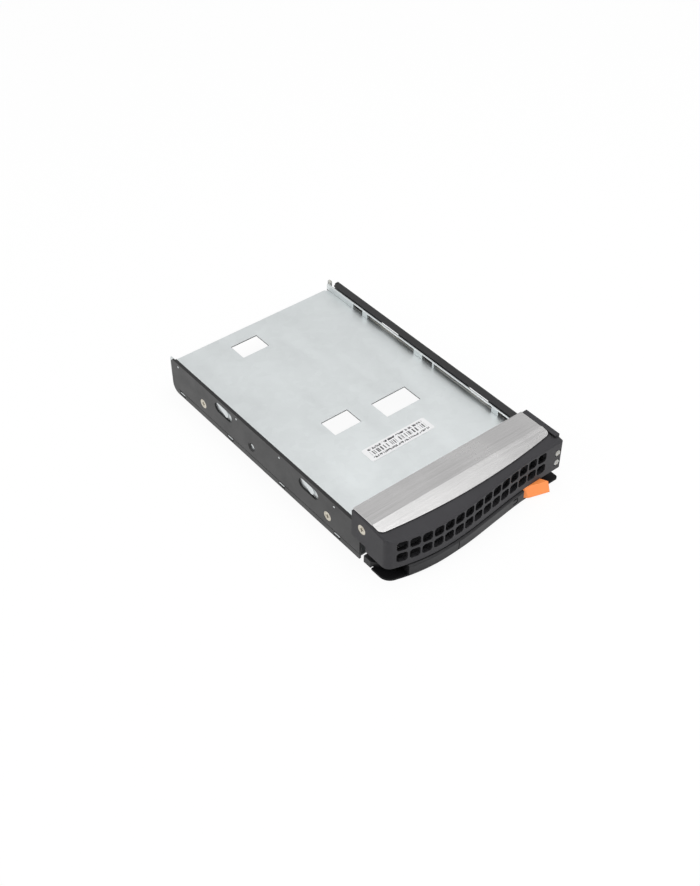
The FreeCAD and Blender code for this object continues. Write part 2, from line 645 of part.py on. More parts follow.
def add_drive_tabs(body):
    """Tabs folded down beside the drive, its front stop, and the right pads."""
    tab_rows = [(hole + " - tab_width/2", hole + " + tab_width/2")
                for hole in (DRIVE_HOLE_FRONT, DRIVE_HOLE_REAR)]
    pad(body, "drive_tabs", "Z", "drive_lift", WEB_UNDER,
        [("loop", rectangle(from_left("(drive_left - plate_sheet)"), from_left("drive_left"), low, high))
         for low, high in tab_rows])
    pad(body, "drive_stop", "Z", "stop_bottom", WEB_UNDER,
        [("loop", rectangle(from_left("stop_left"), from_left("(stop_left + stop_width)"),
                            behind("(drive_front - plate_sheet)"), behind("drive_front")))])
    pad_face = from_left("(drive_left + drive_width)")
    pad(body, "drive_pads", "Z", "skirt_bottom", "pad_top",
        [("loop", rectangle(pad_face, RIGHT_SKIRT + " - plate_sheet",
                            hole + " - pad_length/2", hole + " + pad_length/2"))
         for hole in (DRIVE_HOLE_FRONT, DRIVE_HOLE_REAR)])
    add_rail_keys(body)
    cut(body, "tab_holes", "X", from_left("(drive_left - plate_sheet)"), from_left("drive_left"),
        [("circle", (hole, DRIVE_HOLE_Z), "drive_hole_radius")
         for hole in (DRIVE_HOLE_FRONT, DRIVE_HOLE_REAR)])
    cut(body, "pad_holes", "X", pad_face, RIGHT_SKIRT,
        [("circle", (hole, DRIVE_HOLE_Z), "drive_hole_radius")
         for hole in (DRIVE_HOLE_FRONT, DRIVE_HOLE_REAR)])


def boss_outline(place):
    """Tear shape whose round end faces forward and whose tip points up and back."""
    y, z = behind("(%s - boss_lead)" % place), "boss_slot_z"
    tip_y, tip_z = behind("(%s + boss_tip_lead)" % place), "(boss_slot_z + boss_tip_rise)"
    return [(y, z + " + boss_radius", "boss_radius", 1),
            (y + " - boss_radius", z, "boss_radius", 1), (y, z + " - boss_radius"),
            (tip_y, tip_z + " - boss_tip", "boss_tip", 1),
            (tip_y + " + boss_tip", tip_z, "boss_tip", 1), (tip_y, tip_z + " + boss_tip")]


def add_rail_keys(body):
    """Bosses, hook tabs and half-sheared pins that stand into the left rail."""
    wall = "sheet - half_width"
    pad(body, "slot_bosses", "X", wall + " - boss_rise", wall,
        [("loop", boss_outline(place)) for place in ("boss_slot_front", "boss_slot_rear")])
    tabs = []
    for number in range(4):
        middle = "(front_hole_y + hook_first + %d*hook_pitch)" % number
        tabs.append(("loop", rectangle(middle + " - hook_tab_length/2",
                                       middle + " + hook_tab_length/2",
                                       "sheet + hook_tab_low",
                                       "sheet + hook_tab_low + plate_sheet")))
    pad(body, "hook_tabs", "X", "-half_width", wall, tabs)
    pad(body, "half_shears", "X", "-half_width", wall,
        [("circle", (behind(place), "rail_height - pip_drop"), "pip_radius - pip_clearance")
         for place in PIPS])


def cut_plate_openings(body, left, right):
    """Three web windows, the cut rear corner, pipe slots and side holes."""
    windows = [("loop", rectangle(from_left("drive_left"), from_left("(drive_left + window_reach)"),
                                  hole + " - tab_width/2", hole + " + tab_width/2"))
               for hole in (DRIVE_HOLE_FRONT, DRIVE_HOLE_REAR)]
    windows.append(("loop", rectangle(
        from_left("stop_left"), from_left("(stop_left + stop_width)"),
        behind("drive_front"), behind("(drive_front + stop_reach)"))))
    cut(body, "web_windows", "Z", WEB_UNDER, WEB_TOP, windows)
    inner = right + " - 2*plate_sheet"
    cut(body, "rear_corner", "Z", WEB_UNDER + " - 0.5", WEB_TOP + " + 0.5",
        [("loop", [(inner, behind("(web_rear - corner_cut)")), (inner, behind("(web_rear + 1)")),
                   (inner + " - corner_cut - 1", behind("(web_rear + 1)"))])])
    slots = [("loop", rectangle(behind(start), behind("(%s + %s)" % (start, length)),
                                WEB_TOP, WEB_TOP + " + pipe_slot_height"))
             for start, length in (("pipe_slot_front", "pipe_slot_length"),
                                   ("pipe_slot_rear", "pipe_slot_rear_length"))]
    for number in range(3):
        middle = "(front_hole_y + clip_front + %d*clip_pitch)" % number
        slots.append(("loop", rectangle(middle + " - pipe_window_length/2",
                                        middle + " + pipe_window_length/2",
                                        WEB_TOP, WEB_TOP + " + pipe_window_height")))
    cut(body, "pipe_slots", "X", inner, right, slots)
    holes = [("circle", (place, "side_hole_z"), "screw_radius + thread_clearance")
             for place in (station("0"), MIDDLE_HOLE, REAR_HOLE)]
    cut(body, "left_side_holes", "X", left, left + " + plate_sheet", holes)
    cut(body, "right_side_holes", "X", right + " - plate_sheet", right, holes)
    cut(body, "skirt_tails", "X", "-half_width", right + " + 1",
        [("loop", [(behind("(web_rear - skirt_tail_cut)"), "skirt_bottom"),
                   (behind("(web_rear + 1)"), "skirt_bottom + skirt_tail_cut + 1"),
                   (behind("(web_rear + 1)"), "skirt_bottom - 1"),
                   (behind("(web_rear - skirt_tail_cut)"), "skirt_bottom - 1")])])


# -------------------------------------------------------------------- bezel
def front_outline(rear, inset="0", side="0"):
    """Plan outline with straight sides and the front curve."""
    left, right = "-(half_width - (%s))" % side, "(half_width - (%s))" % side
    return [(left, rear)] + front_points(left, right, inset) + [(right, rear)]


def roof_z(distance):
    """Height of the sloping roof ahead of its bend line."""
    return ("(bezel_top - (bezel_top - bezel_front_top)*(%s - roof_bend)"
            "/(roof_front - roof_bend))" % distance)


def make_bezel():
    """Moulded hood: bowed vent wall, roof, floor and two ears over the rails."""
    body = new_body("front_bezel_mould")
    rear = station("ear_back")
    pad(body, "hood", "Z", "bezel_bottom", "bezel_top",
        [("loop", front_outline(rear))])
    half = value("half_width")
    left_y, right_y = value(bow("-half_width")), value(RIGHT_CORNER_Y)
    soften(body, "left_corner", "Fillet", "left_corner_round",
           lambda b: near(b.XMin, -half) and near(b.YMax, left_y)
           and b.ZLength > 5 and b.YLength < 0.1)
    soften(body, "right_corner", "Fillet", "right_corner_round",
           lambda b: near(b.XMax, half) and near(b.YMax, right_y)
           and b.ZLength > 5 and b.YLength < 0.1)
    far = "(crown_reach + 2)"
    cut(body, "roof_slope", "X", "-half_width - 1", "half_width + 1",
        [("loop", [(station("roof_bend"), "bezel_top"), (station("roof_bend"), "bezel_top + 1"),
                   (station(far), "bezel_top + 1"), (station(far), roof_z(far))])])
    brow = value(roof_z("crown_reach"))
    soften(body, "brow", "Chamfer", "brow_chamfer",
           lambda b: b.XLength > 10 and brow - 0.2 < b.ZMin and b.ZMax < brow + 1.5)
    inner = "(half_width - side_wall)"
    cut(body, "hollow", "Z", "bezel_bottom + floor_wall", "ceiling_z",
        [("loop", front_outline(rear + " + 1", "front_wall", "side_wall"))])
    cut(body, "open_under", "Z", "bezel_bottom - 1", "bezel_bottom + floor_wall + 1",
        [("loop", rectangle("-" + inner, inner, station("floor_rear"), rear + " + 1"))])
    thin = "(half_width - ear_wall)"
    cut(body, "ear_recesses", "Z", "bezel_bottom - 1", "ceiling_z",
        [("loop", rectangle("-" + thin, "-" + inner, station("roof_bend"), rear + " + 1")),
         ("loop", rectangle(inner, thin, station("roof_bend"), rear + " + 1"))])
    cut(body, "ear_feet", "X", "-half_width - 1", "half_width + 1",
        [("loop", rectangle(station("ear_foot"), rear + " + 1", "bezel_bottom - 1",
                            "ear_bottom"))])
    rib = "(half_width - ear_rib_width)"
    pad(body, "ear_rib_right", "Z", "ceiling_z + 0.5", "bezel_top + ear_rib",
        [("loop", rectangle(rib, "half_width", station("ear_rib_front"), rear))])
    cut_bezel_front(body)
    return body


def cut_bezel_front(body):
    """Vent grid, lamp bores, pivot bore and ear screw holes."""
    first = from_left("vent_first")
    ahead = station("(crown_reach + 1)")
    inside = bow("-half_width") + " + front_wall + 0.6"
    holes = cut(body, "vent_pair", "Y", ahead, inside,
                [("bevelled", (first, "vent_low_z"), "vent_width", "vent_height", "vent_corner"),
                 ("bevelled", (first, "vent_low_z + vent_row_rise"), "vent_width",
                  "vent_height", "vent_corner")])
    repeat(body, "vent_grid", holes, holes.Profile[0],
           "(vent_count - 1)*vent_pitch", "vent_count")
    cut(body, "lamp_bores", "Y", ahead, inside,
        [("circle", (LAMP_X, place), "lamp_bore") for place in (LAMP_HIGH, LAMP_LOW)])
    cut(body, "pivot_bore", "Z", "bezel_bottom - 1", "bezel_bottom + floor_wall + 1",
        [("circle", (PIVOT_X, PIVOT_Y), "pin_radius + pin_clearance")])
    place = (station("ear_screw_y"), "ear_screw_z")
    radius = "screw_radius + thread_clearance"
    cut(body, "left_ear_hole", "X", "-half_width - 1", "ear_wall - half_width",
        [("circle", place, radius)])
    cut(body, "right_ear_hole", "X", "half_width - ear_wall", "half_width + 1",
        [("circle", place, radius)])


def make_cover():
    """Bright plate that lies on the roof and bends down with its slope."""
    body = new_body("top_cover")
    left, right = "(cover_left - half_width)", "(half_width - cover_right)"
    half = "(half_width - cover_left/2 - cover_right/2)"
    far = "(cover_front + cover_bow + 1)"
    pad(body, "bent_strip", "X", left, right,
        [("loop", [(station(far), roof_z(far)), (station("roof_bend"), "bezel_top"),
                   (station("cover_rear"), "bezel_top"),
                   (station("cover_rear"), "bezel_top + cover_thick"),
                   (station("roof_bend"), "bezel_top + cover_thick"),
                   (station(far), roof_z(far) + " + cover_thick")])])
    radius = "(%s^2/2/cover_bow + cover_bow/2)" % half
    front = station("cover_front")
    cut(body, "bowed_edge", "Z", "bezel_front_top - 3", "bezel_top + 3",
        [("loop", [(left + " - 1", front + " - 9"), (right + " + 1", front + " - 9"),
                   (right + " + 1", front), (right, front, radius, -1), (left, front),
                   (left + " - 1", front)])])
    edge = value(front)
    soften(body, "cover_corners", "Fillet", "cover_round",
           lambda b: near(b.YMin, edge, 0.05) and near(b.YMax, edge, 0.05)
           and b.XLength < 0.1 and b.ZLength > 0.3)
    sides = (value(left), value(right))
    soften(body, "cover_edges", "Fillet", "cover_edge",
           lambda b: b.YLength > 4 and b.XLength < 0.01 and b.ZMax > value("bezel_top") + 0.3
           and b.ZMin > value("bezel_top") and min(abs(b.XMin - x) for x in sides) < 0.01)
    return body


# ------------------------------------------------------------- handle parts
def make_base():
    """Flat base below the handle with its rear wall and the catch post."""
    body = new_body("handle_base")
    rear = station("base_rear")
    pad(body, "base_plate", "Z", "0", "base_thick",
        [("loop", front_outline(rear, "base_inset"))])
    half = value("half_width")
    left_y = value(bow("-half_width", "base_inset"))
    right_y = value(bow("half_width", "base_inset"))
    soften(body, "base_left_corner", "Fillet", "base_round",
           lambda b: near(b.XMax, -half) and near(b.YMax, left_y) and b.YLength < 0.1)
    soften(body, "base_right_corner", "Fillet", "base_right_round",
           lambda b: near(b.XMin, half) and near(b.YMax, right_y) and b.YLength < 0.1)
    pad(body, "base_wall", "Z", "0", "bezel_bottom",
        [("loop", rectangle(from_left("base_wall_left"), "half_width",
                            rear + " - base_wall", rear))])
    catch_right = "(hook_left - catch_gap)"
    pad(body, "catch_post", "Z", "0", "catch_top",
        [("loop", rectangle(from_left("(%s - catch_width)" % catch_right),
                            from_left(catch_right), station("catch_front"),
                            station("catch_front") + " + catch_depth"))])
    cut(body, "base_pivot", "Z", "-1", "base_thick + 1",
        [("circle", (PIVOT_X, PIVOT_Y), "pin_radius + pin_clearance")])
    return body


def make_lever():
    """Bowed handle bar with its hub, ejector claw, latch bore and spring well."""
    body = new_body("handle_lever")
    left, proud = from_left("lever_left"), "-lever_proud"
    bar = (front_points(left, "half_width", proud)
           + front_points(left, "half_width", proud + " + lever_depth", backwards=True))
    pad(body, "bar", "Z", LEVER_LOW, LEVER_HIGH, [("loop", bar)])
    shape_nose(body)
    pad(body, "hub", "Z", LEVER_LOW, LEVER_HIGH, [("circle", (PIVOT_X, PIVOT_Y), "hub_radius")])
    claw_left, claw_right = from_left("claw_left"), from_left("(claw_left + claw_width)")
    claw_front = station("claw_front")
    reach = "hub_radius*0.7"
    pad(body, "arm", "Z", LEVER_LOW, "claw_top",
        [("loop", [(PIVOT_X + " - " + reach, PIVOT_Y + " - " + reach),
                   (PIVOT_X + " + " + reach, PIVOT_Y + " + " + reach),
                   (claw_right, claw_front + " + claw_depth*0.9"), (claw_left, claw_front)])])
    pad(body, "claw", "Z", "claw_lift", "claw_top",
        [("loop", rectangle(claw_left, claw_right, claw_front, claw_front + " + claw_depth"))])
    cut_lever(body)
    return body


def nose_line(shift="0"):
    """Rear, tip and far points of the leaning end of the bar, moved along X."""
    end, tip = from_left("lever_right"), from_left("(lever_right + nose_lean)")
    rear, front = station("latch_rear"), bow(tip, "-lever_proud")
    return [(end + " + " + shift, rear), (tip + " + " + shift, front),
            ("%s + %s + nose_lean" % (tip, shift), "2*%s - %s" % (front, rear))]


def shape_nose(body):
    """Leaning end face beside the finger tab and the rounded edges of the bar."""
    end, tip = from_left("lever_right"), from_left("(lever_right + nose_lean)")
    rear, ahead = station("latch_rear"), CROWN_Y + " - 5"
    far, past = nose_line()[2]
    cut(body, "bar_end", "Z", LEVER_LOW + " - 1", LEVER_HIGH + " + 1",
        [("loop", [(end, rear + " + 20"), (end, rear), (far, past),
                   ("half_width + 5", past), ("half_width + 5", rear + " + 20")])])
    soften(body, "nose_side", "Fillet", "nose_side_round",
           lambda b: b.ZLength > 3 and b.YLength < 0.1 and b.XLength < 0.1
           and b.XMax > value(end) + 1 and b.YMax < value(rear) - 0.5)
    line, top, low = value(CROWN_Y + " + lever_depth*0.75"), value(LEVER_HIGH), value(LEVER_LOW)
    soften(body, "bar_top_edge", "Fillet", "lever_edge",
           lambda b: b.XLength > 9 and b.YMax < line and near(b.ZMin, top) and near(b.ZMax, top))
    soften(body, "bar_low_edge", "Fillet", "lever_low_edge",
           lambda b: b.XLength > 9 and b.YMax < line and near(b.ZMin, low) and near(b.ZMax, low))
    start, drop = tip + " - nose_top_round", LEVER_HIGH + " - nose_top_round"
    cut(body, "nose_top", "Y", ahead, rear + " + 20",
        [("loop", [(tip, drop, "nose_top_round", 1), (start, LEVER_HIGH),
                   (start, LEVER_HIGH + " + 1"), (tip + " + 1", LEVER_HIGH + " + 1"),
                   (tip + " + 1", drop)])])


def cut_lever(body):
    """Pin bore, spring well, stem bore, seam line and the finger mark."""
    pivot = (PIVOT_X, PIVOT_Y)
    cut(body, "spring_well", "Z", LEVER_HIGH + " - spring_well_depth", LEVER_HIGH + " + 1",
        [("circle", pivot, "spring_well")])
    cut(body, "pin_bore", "Z", "-1", LEVER_HIGH + " + 1",
        [("circle", pivot, "pin_radius + pin_clearance")])
    stem_y, room = station("stem_y"), "(stem_head_half + stem_clearance)"
    chamber_left = from_left("(stem_left - latch_gap)")
    chamber_right = from_left("(stem_left + stem_head + spring_room)")
    cut(body, "spring_chamber", "X", chamber_left, chamber_right,
        [("loop", rectangle(stem_y + " - " + room, stem_y + " + " + room,
                            "stem_z - " + room, "stem_z + " + room))])
    cut(body, "stem_bore", "X", chamber_right, from_left("(lever_right + nose_lean + 1)"),
        [("circle", (stem_y, "stem_z"), "stem_radius + stem_clearance")])
    seam = from_left("seam_place")
    cut(body, "seam", "Z", LEVER_LOW, LEVER_HIGH,
        [("loop", rectangle(seam + " - seam_width/2", seam + " + seam_width/2",
                            bow(seam, "-lever_proud") + " - 1",
                            bow(seam, "-lever_proud") + " + seam_depth"))])
    mark = from_left("mark_place")
    low, high = "stem_z - mark_size/2", "stem_z + mark_size/2"
    near_x, far_x = mark + " - mark_size/2", mark + " + mark_size/2"
    face = bow(mark, "-lever_proud")
    cut(body, "finger_mark", "Y", face + " - 1", face + " + mark_depth",
        [("loop", [(near_x, low), (far_x, low), (far_x, high), (near_x, high),
                   (near_x, high + " - mark_line"), (far_x + " - mark_line", high + " - mark_line"),
                   (far_x + " - mark_line", low + " + mark_line"), (near_x, low + " + mark_line")])])


def make_latch():
    """Sliding release: leaning finger tab, guide stem and catch hook."""
    body = new_body("release_latch")
    left, right = LATCH_REST, from_left("latch_right")
    rear, top = station("latch_rear"), LEVER_HIGH + " + latch_lift"
    left_front, right_front = station("latch_left_front"), station("latch_right_front")
    pad(body, "tab", "Z", LEVER_LOW, top,
        [("loop", [(left, rear), (left, left_front), (right, right_front),
                   (right + " - latch_back_in", rear)])])
    crest, corner = value(top), value(right_front)
    block = body.Tip
    lean = body.newObject("PartDesign::Draft", "tab_lean")
    lean.Base = (block, faces_where(block.Shape, lambda b: near(b.YMin, corner)
                                    and b.XLength > 8 and b.ZLength > 1))
    lean.NeutralPlane = (block, faces_where(block.Shape, lambda b: near(b.ZMin, crest)))
    lean.setExpression("Angle", bind("latch_lean"))
    doc.recompute()
    far, past = nose_line("latch_gap")[2]
    cut(body, "tab_side", "Z", LEVER_LOW + " - 1", top + " + 1",
        [("loop", [(left, rear), (left + " - 2", rear), (left + " - 2", past),
                   (far, past)])])
    soften(body, "tab_edge", "Fillet", "latch_edge",
           lambda b: b.XLength > 8 and b.YLength > 2 and near(b.ZMin, crest)
           and near(b.ZMax, crest))
    stem_y = station("stem_y")
    pad(body, "stem", "X", from_left("stem_left"), left + " + 2.5",
        [("circle", (stem_y, "stem_z"), "stem_radius")])
    half = "stem_head_half"
    pad(body, "stem_head", "X", from_left("stem_left"), from_left("(stem_left + stem_head)"),
        [("loop", rectangle(stem_y + " - " + half, stem_y + " + " + half,
                            "stem_z - " + half, "stem_z + " + half))])
    hook_right = "(hook_left + hook_width)"
    hook_front = station("hook_rear") + " - hook_depth"
    pad(body, "hook", "Z", "hook_bottom", "hook_top",
        [("loop", [(from_left("(%s - hook_arm_width)" % hook_right), rear + " - 0.5"),
                   (from_left(hook_right), rear + " - 0.5"),
                   (from_left(hook_right), station("hook_rear")),
                   (from_left("hook_left"), station("hook_rear")),
                   (from_left("hook_left"), hook_front),
                   (from_left("(%s - hook_arm_width)" % hook_right), hook_front)])])
    return body


def make_pin():
    """Pivot pin with a flat head above the bezel floor."""
    shank = primitive("Part::Cylinder", "pin_shank",
                      {"Radius": "pin_radius",
                       "Height": "bezel_bottom + floor_wall + pin_clearance + 0.4"},
                      (PIVOT_X, PIVOT_Y, "0"))
    head = primitive("Part::Cylinder", "pin_head",
                     {"Radius": "pin_radius*1.6", "Height": "0.8"},
                     (PIVOT_X, PIVOT_Y, "bezel_bottom + floor_wall + pin_clearance"))
    return joined("Fuse", "handle_pivot_pin", shank, head)


def make_coil(label, radius, wire, step, height, place, turn):
    """Helical spring about an axis, with a square wire section."""
    path = doc.addObject("Part::Helix", label + "_path")
    for size, text in (("Pitch", step), ("Height", height), ("Radius", radius)):
        path.setExpression(size, bind(text))
    ring = doc.addObject("Part::RegularPolygon", label + "_wire")
    ring.Polygon = 4
    ring.setExpression("Circumradius", bind(wire))
    ring.Placement = FreeCAD.Placement(V(0, 0, 0), FreeCAD.Rotation(V(1, 0, 0), 90))
    ring.setExpression(".Placement.Base.x", bind(radius))
    doc.recompute()
    coil = doc.addObject("Part::Sweep", label)
    coil.Label = label
    coil.Sections = [ring]
    coil.Spine = (path, ["Edge1"])
    coil.Solid = True
    coil.Frenet = True
    coil.Placement = FreeCAD.Placement(V(0, 0, 0), FreeCAD.Rotation(V(0, 1, 0), turn))
    for axis, text in zip("xyz", place):
        coil.setExpression(".Placement.Base." + axis, bind(text))
    doc.recompute()
    return coil


# -------------------------------------------------------------- light pipes
def add_path(sketch, points):
    """Open chain in a sketch; a point is (x, y) or (x, y, radius, side)."""
    places = [V(value(p[0]), value(p[1]), 0) for p in points]
    last = None
    for number, point in enumerate(points[:-1]):
        index, begin, finish = add_edge(sketch, places[number], places[number + 1], point)
        fix_point(sketch, index, begin, point[0], point[1])
        if last:
            sketch.addConstraint(
                Sketcher.Constraint("Coincident", last[0], last[1], index, begin))
        if len(point) == 4:
            fix_radius(sketch, index, point[2])
        last = (index, finish)
    fix_point(sketch, last[0], last[1], points[-1][0], points[-1][1])


def lamp_face():
    """Y of the bezel front at the lamps."""
    return bow(LAMP_X)


def make_pipe(label, lamp_z, run_z, rising):
    """Rod with a lens at its lamp, a double bend and a long run along the rail."""
    body = new_body(label)
    run = "(pipe_drop_end - pipe_drop_start)"
    drop = "(%s - %s)" % ((run_z, lamp_z) if rising else (lamp_z, run_z))
    radius = "((%s^2 + %s^2)/4/%s)" % (run, drop, drop)
    turn = 1 if rising else -1
    middle = (station("((pipe_drop_start + pipe_drop_end)/2)"), "(%s + %s)/2" % (run_z, lamp_z))
    path = body.newObject("Sketcher::SketchObject", label + "_path")
    path.AttachmentSupport = [(origin_plane(body, "YZ"), "")]
    path.MapMode = "FlatFace"
    path.setExpression(".AttachmentOffset.Base.z", bind(LAMP_X))
    front = lamp_face() + " + lamp_length - 0.5"
    add_path(path, [(front, lamp_z), (station("pipe_drop_end"), lamp_z, radius, turn),
                    (middle[0], middle[1], radius, -turn),
                    (station("pipe_drop_start"), run_z), (behind("pipe_end"), run_z)])
    doc.recompute()
    ring = draw(body, label + "_ring", "XZ", plane_offset("Y", front),
                [("loop", polygon((LAMP_X, lamp_z), "pipe_radius", 8))])
    rod = body.newObject("PartDesign::AdditivePipe", label + "_rod")
    rod.Profile = ring
    rod.Spine = (path, [])
    doc.recompute()
    pad(body, label + "_lens", "Y", lamp_face(), lamp_face() + " + lamp_length",
        [("circle", (LAMP_X, lamp_z), "lamp_radius")])
    return body


def make_upper_pipe():
    """Pipe from the upper lamp, with a collector at its rear end."""
    body = make_pipe("light_pipe_upper", LAMP_HIGH, PIPE_HIGH, False)
    pad(body, "collector", "Y", behind("pipe_end"), behind("(pipe_end + collector_length)"),
        [("loop", rectangle(LAMP_X + " - collector_width/2", LAMP_X + " + collector_width/2",
                            PIPE_HIGH + " - pipe_radius", "collector_top"))])
    return body


def make_clip(label, number):
    """Comb clip under the right lip that carries both light pipes."""
    body = new_body(label)
    inner, outer = RIGHT_SKIRT + " + 0.1", "(half_width - sheet)"
    throat = LAMP_X + " + pipe_radius + pipe_clearance"
    half = "(pipe_radius + pipe_clearance)"
    low = "(%s - %s - clip_floor)" % (PIPE_LOW, half)
    outline = [(outer, low), (outer, "rail_height - sheet"), (inner, "rail_height - sheet")]
    for height in (PIPE_HIGH, PIPE_LOW):
        outline += [(inner, "%s + %s" % (height, half)), (throat, "%s + %s" % (height, half)),
                    (throat, "%s - %s" % (height, half)), (inner, "%s - %s" % (height, half))]
    outline.append((inner, low))
    middle = "(front_hole_y + clip_front + %d*clip_pitch)" % number
    pad(body, label + "_comb", "Y", middle + " - clip_length/2", middle + " + clip_length/2",
        [("loop", outline)])
    return body


def make_label():
    """Thin paper label stuck on the web."""
    body = new_body("asset_label")
    pad(body, "label_sheet", "Z", WEB_TOP, WEB_TOP + " + label_thick",
        [("rounded", (from_left("(label_left + label_length/2)"),
                      behind("(label_front + label_width/2)")),
          "label_length", "label_width", "label_round")])
    return body


# ----------------------------------------------------------------- assembly
def build_all():
    """Every sub-part, in the order in which the caddy goes together."""
    holes = [(station("0"), "side_hole_z"), (MIDDLE_HOLE, "side_hole_z"),
             (REAR_HOLE, "side_hole_z")]
    parts = [make_plate()]
    for name, side in (("left_rail", -1), ("right_rail", 1)):
        parts.append(countersunk(name, make_rail(name, side), side, holes))
    ear = [(station("ear_screw_y"), "ear_screw_z")]
    hood = countersunk("bezel_left_seat", make_bezel(), -1, ear)
    parts.append(countersunk("front_bezel", hood, 1, ear))
    parts += [make_cover(), make_base(), make_lever(), make_latch(), make_pin()]
    well_floor = LEVER_HIGH + " - spring_well_depth"
    parts.append(make_coil("handle_torsion_spring", "coil_radius", "coil_wire", "coil_step",
                           "coil_height",
                           (PIVOT_X, PIVOT_Y, well_floor + " + coil_wire + 0.3"), 0.0))
    parts.append(make_coil("latch_spring", "press_radius", "press_wire", "press_step",
                           "spring_room - 2*press_wire - 0.2",
                           (from_left("(stem_left + stem_head + press_wire + 0.1)"),
                            station("stem_y"), "stem_z"), 90.0))
    parts += [make_upper_pipe(),
              make_pipe("light_pipe_lower", LAMP_LOW, PIPE_LOW, True)]
    parts += [make_clip("pipe_clip_%s" % word, number)
              for number, word in enumerate(("front", "middle", "rear"))]
    short = "sheet + plate_sheet + thread_past_sheet"
    long = short + " + channel_width"
    for side, word, length in ((-1, "left", short), (1, "right", long)):
        parts.append(make_screw(word + "_screw_front", side, station("0"), "side_hole_z", length))
        parts.append(make_screw(word + "_screw_rear", side, REAR_HOLE, "side_hole_z", length))
        parts.append(make_screw(word + "_ear_screw", side, ear[0][0], "ear_screw_z",
                                "ear_screw_length"))
    parts.append(make_label())
    doc.recompute()
    return parts


def check_and_export(parts):
    """Stop on any failed feature, then write one file for each sub-part."""
    for item in doc.Objects:
        if "Invalid" in item.State or "Error" in item.State:
            raise RuntimeError("%s failed: %s" % (item.Name, item.State))
    for item in parts:
        if item.Shape.isNull() or not item.Shape.isValid() or item.Shape.Volume <= 0:
            raise RuntimeError(item.Label + " is not a valid solid")
        if len(item.Shape.Solids) != 1:
            raise RuntimeError("%s has %d solids" % (item.Label, len(item.Shape.Solids)))
    os.makedirs("parts", exist_ok=True)
    for item in parts:
        item.Shape.exportStep("parts/%s.step" % item.Label)
        print("%-24s %8.1f mm3" % (item.Label, item.Shape.Volume))


check_and_export(build_all())
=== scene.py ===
"""Finishes, label print, light and camera of the hot swap drive caddy.

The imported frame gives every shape. This script dresses it and stands it in a studio.
"""

import logging
from collections.abc import Mapping, Sequence
from dataclasses import dataclass, field, replace
from enum import Enum

import bpy
from mathutils import Matrix, Vector


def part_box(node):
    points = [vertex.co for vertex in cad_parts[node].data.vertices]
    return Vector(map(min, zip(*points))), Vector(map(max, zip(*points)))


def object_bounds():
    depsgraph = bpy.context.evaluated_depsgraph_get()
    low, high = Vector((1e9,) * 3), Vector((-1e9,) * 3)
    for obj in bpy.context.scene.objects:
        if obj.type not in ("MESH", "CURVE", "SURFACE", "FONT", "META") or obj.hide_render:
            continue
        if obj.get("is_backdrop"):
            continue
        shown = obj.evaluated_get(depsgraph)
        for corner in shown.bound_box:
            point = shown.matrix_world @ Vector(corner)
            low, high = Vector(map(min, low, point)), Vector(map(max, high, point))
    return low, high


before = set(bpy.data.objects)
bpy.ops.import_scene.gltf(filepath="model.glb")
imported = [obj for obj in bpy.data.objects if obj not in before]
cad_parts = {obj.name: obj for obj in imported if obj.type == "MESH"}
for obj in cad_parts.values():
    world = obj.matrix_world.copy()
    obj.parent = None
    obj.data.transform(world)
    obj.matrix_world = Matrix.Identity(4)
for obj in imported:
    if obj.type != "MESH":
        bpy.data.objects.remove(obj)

log = logging.getLogger("drive_caddy")

Colour = tuple[float, float, float]
Span = tuple[float, float]
Value = float | tuple[float, ...] | bpy.types.NodeSocket
Socket = bpy.types.NodeSocket
MILLIMETRE = 0.001
WHITE: Colour = (1.0, 1.0, 1.0)
BLACK: Colour = (0.0, 0.0, 0.0)
UNIT: Span = (0.0, 1.0)
PROBES = 6


def opaque(colour: Colour) -> tuple[float, float, float, float]:
    """The colour with a full alpha channel, as colour sockets want it."""
    return (*colour, 1.0)


def scaled(colour: Colour, share: float) -> Colour:
    """The colour made darker or lighter by a share."""
    return tuple(share * part for part in colour)


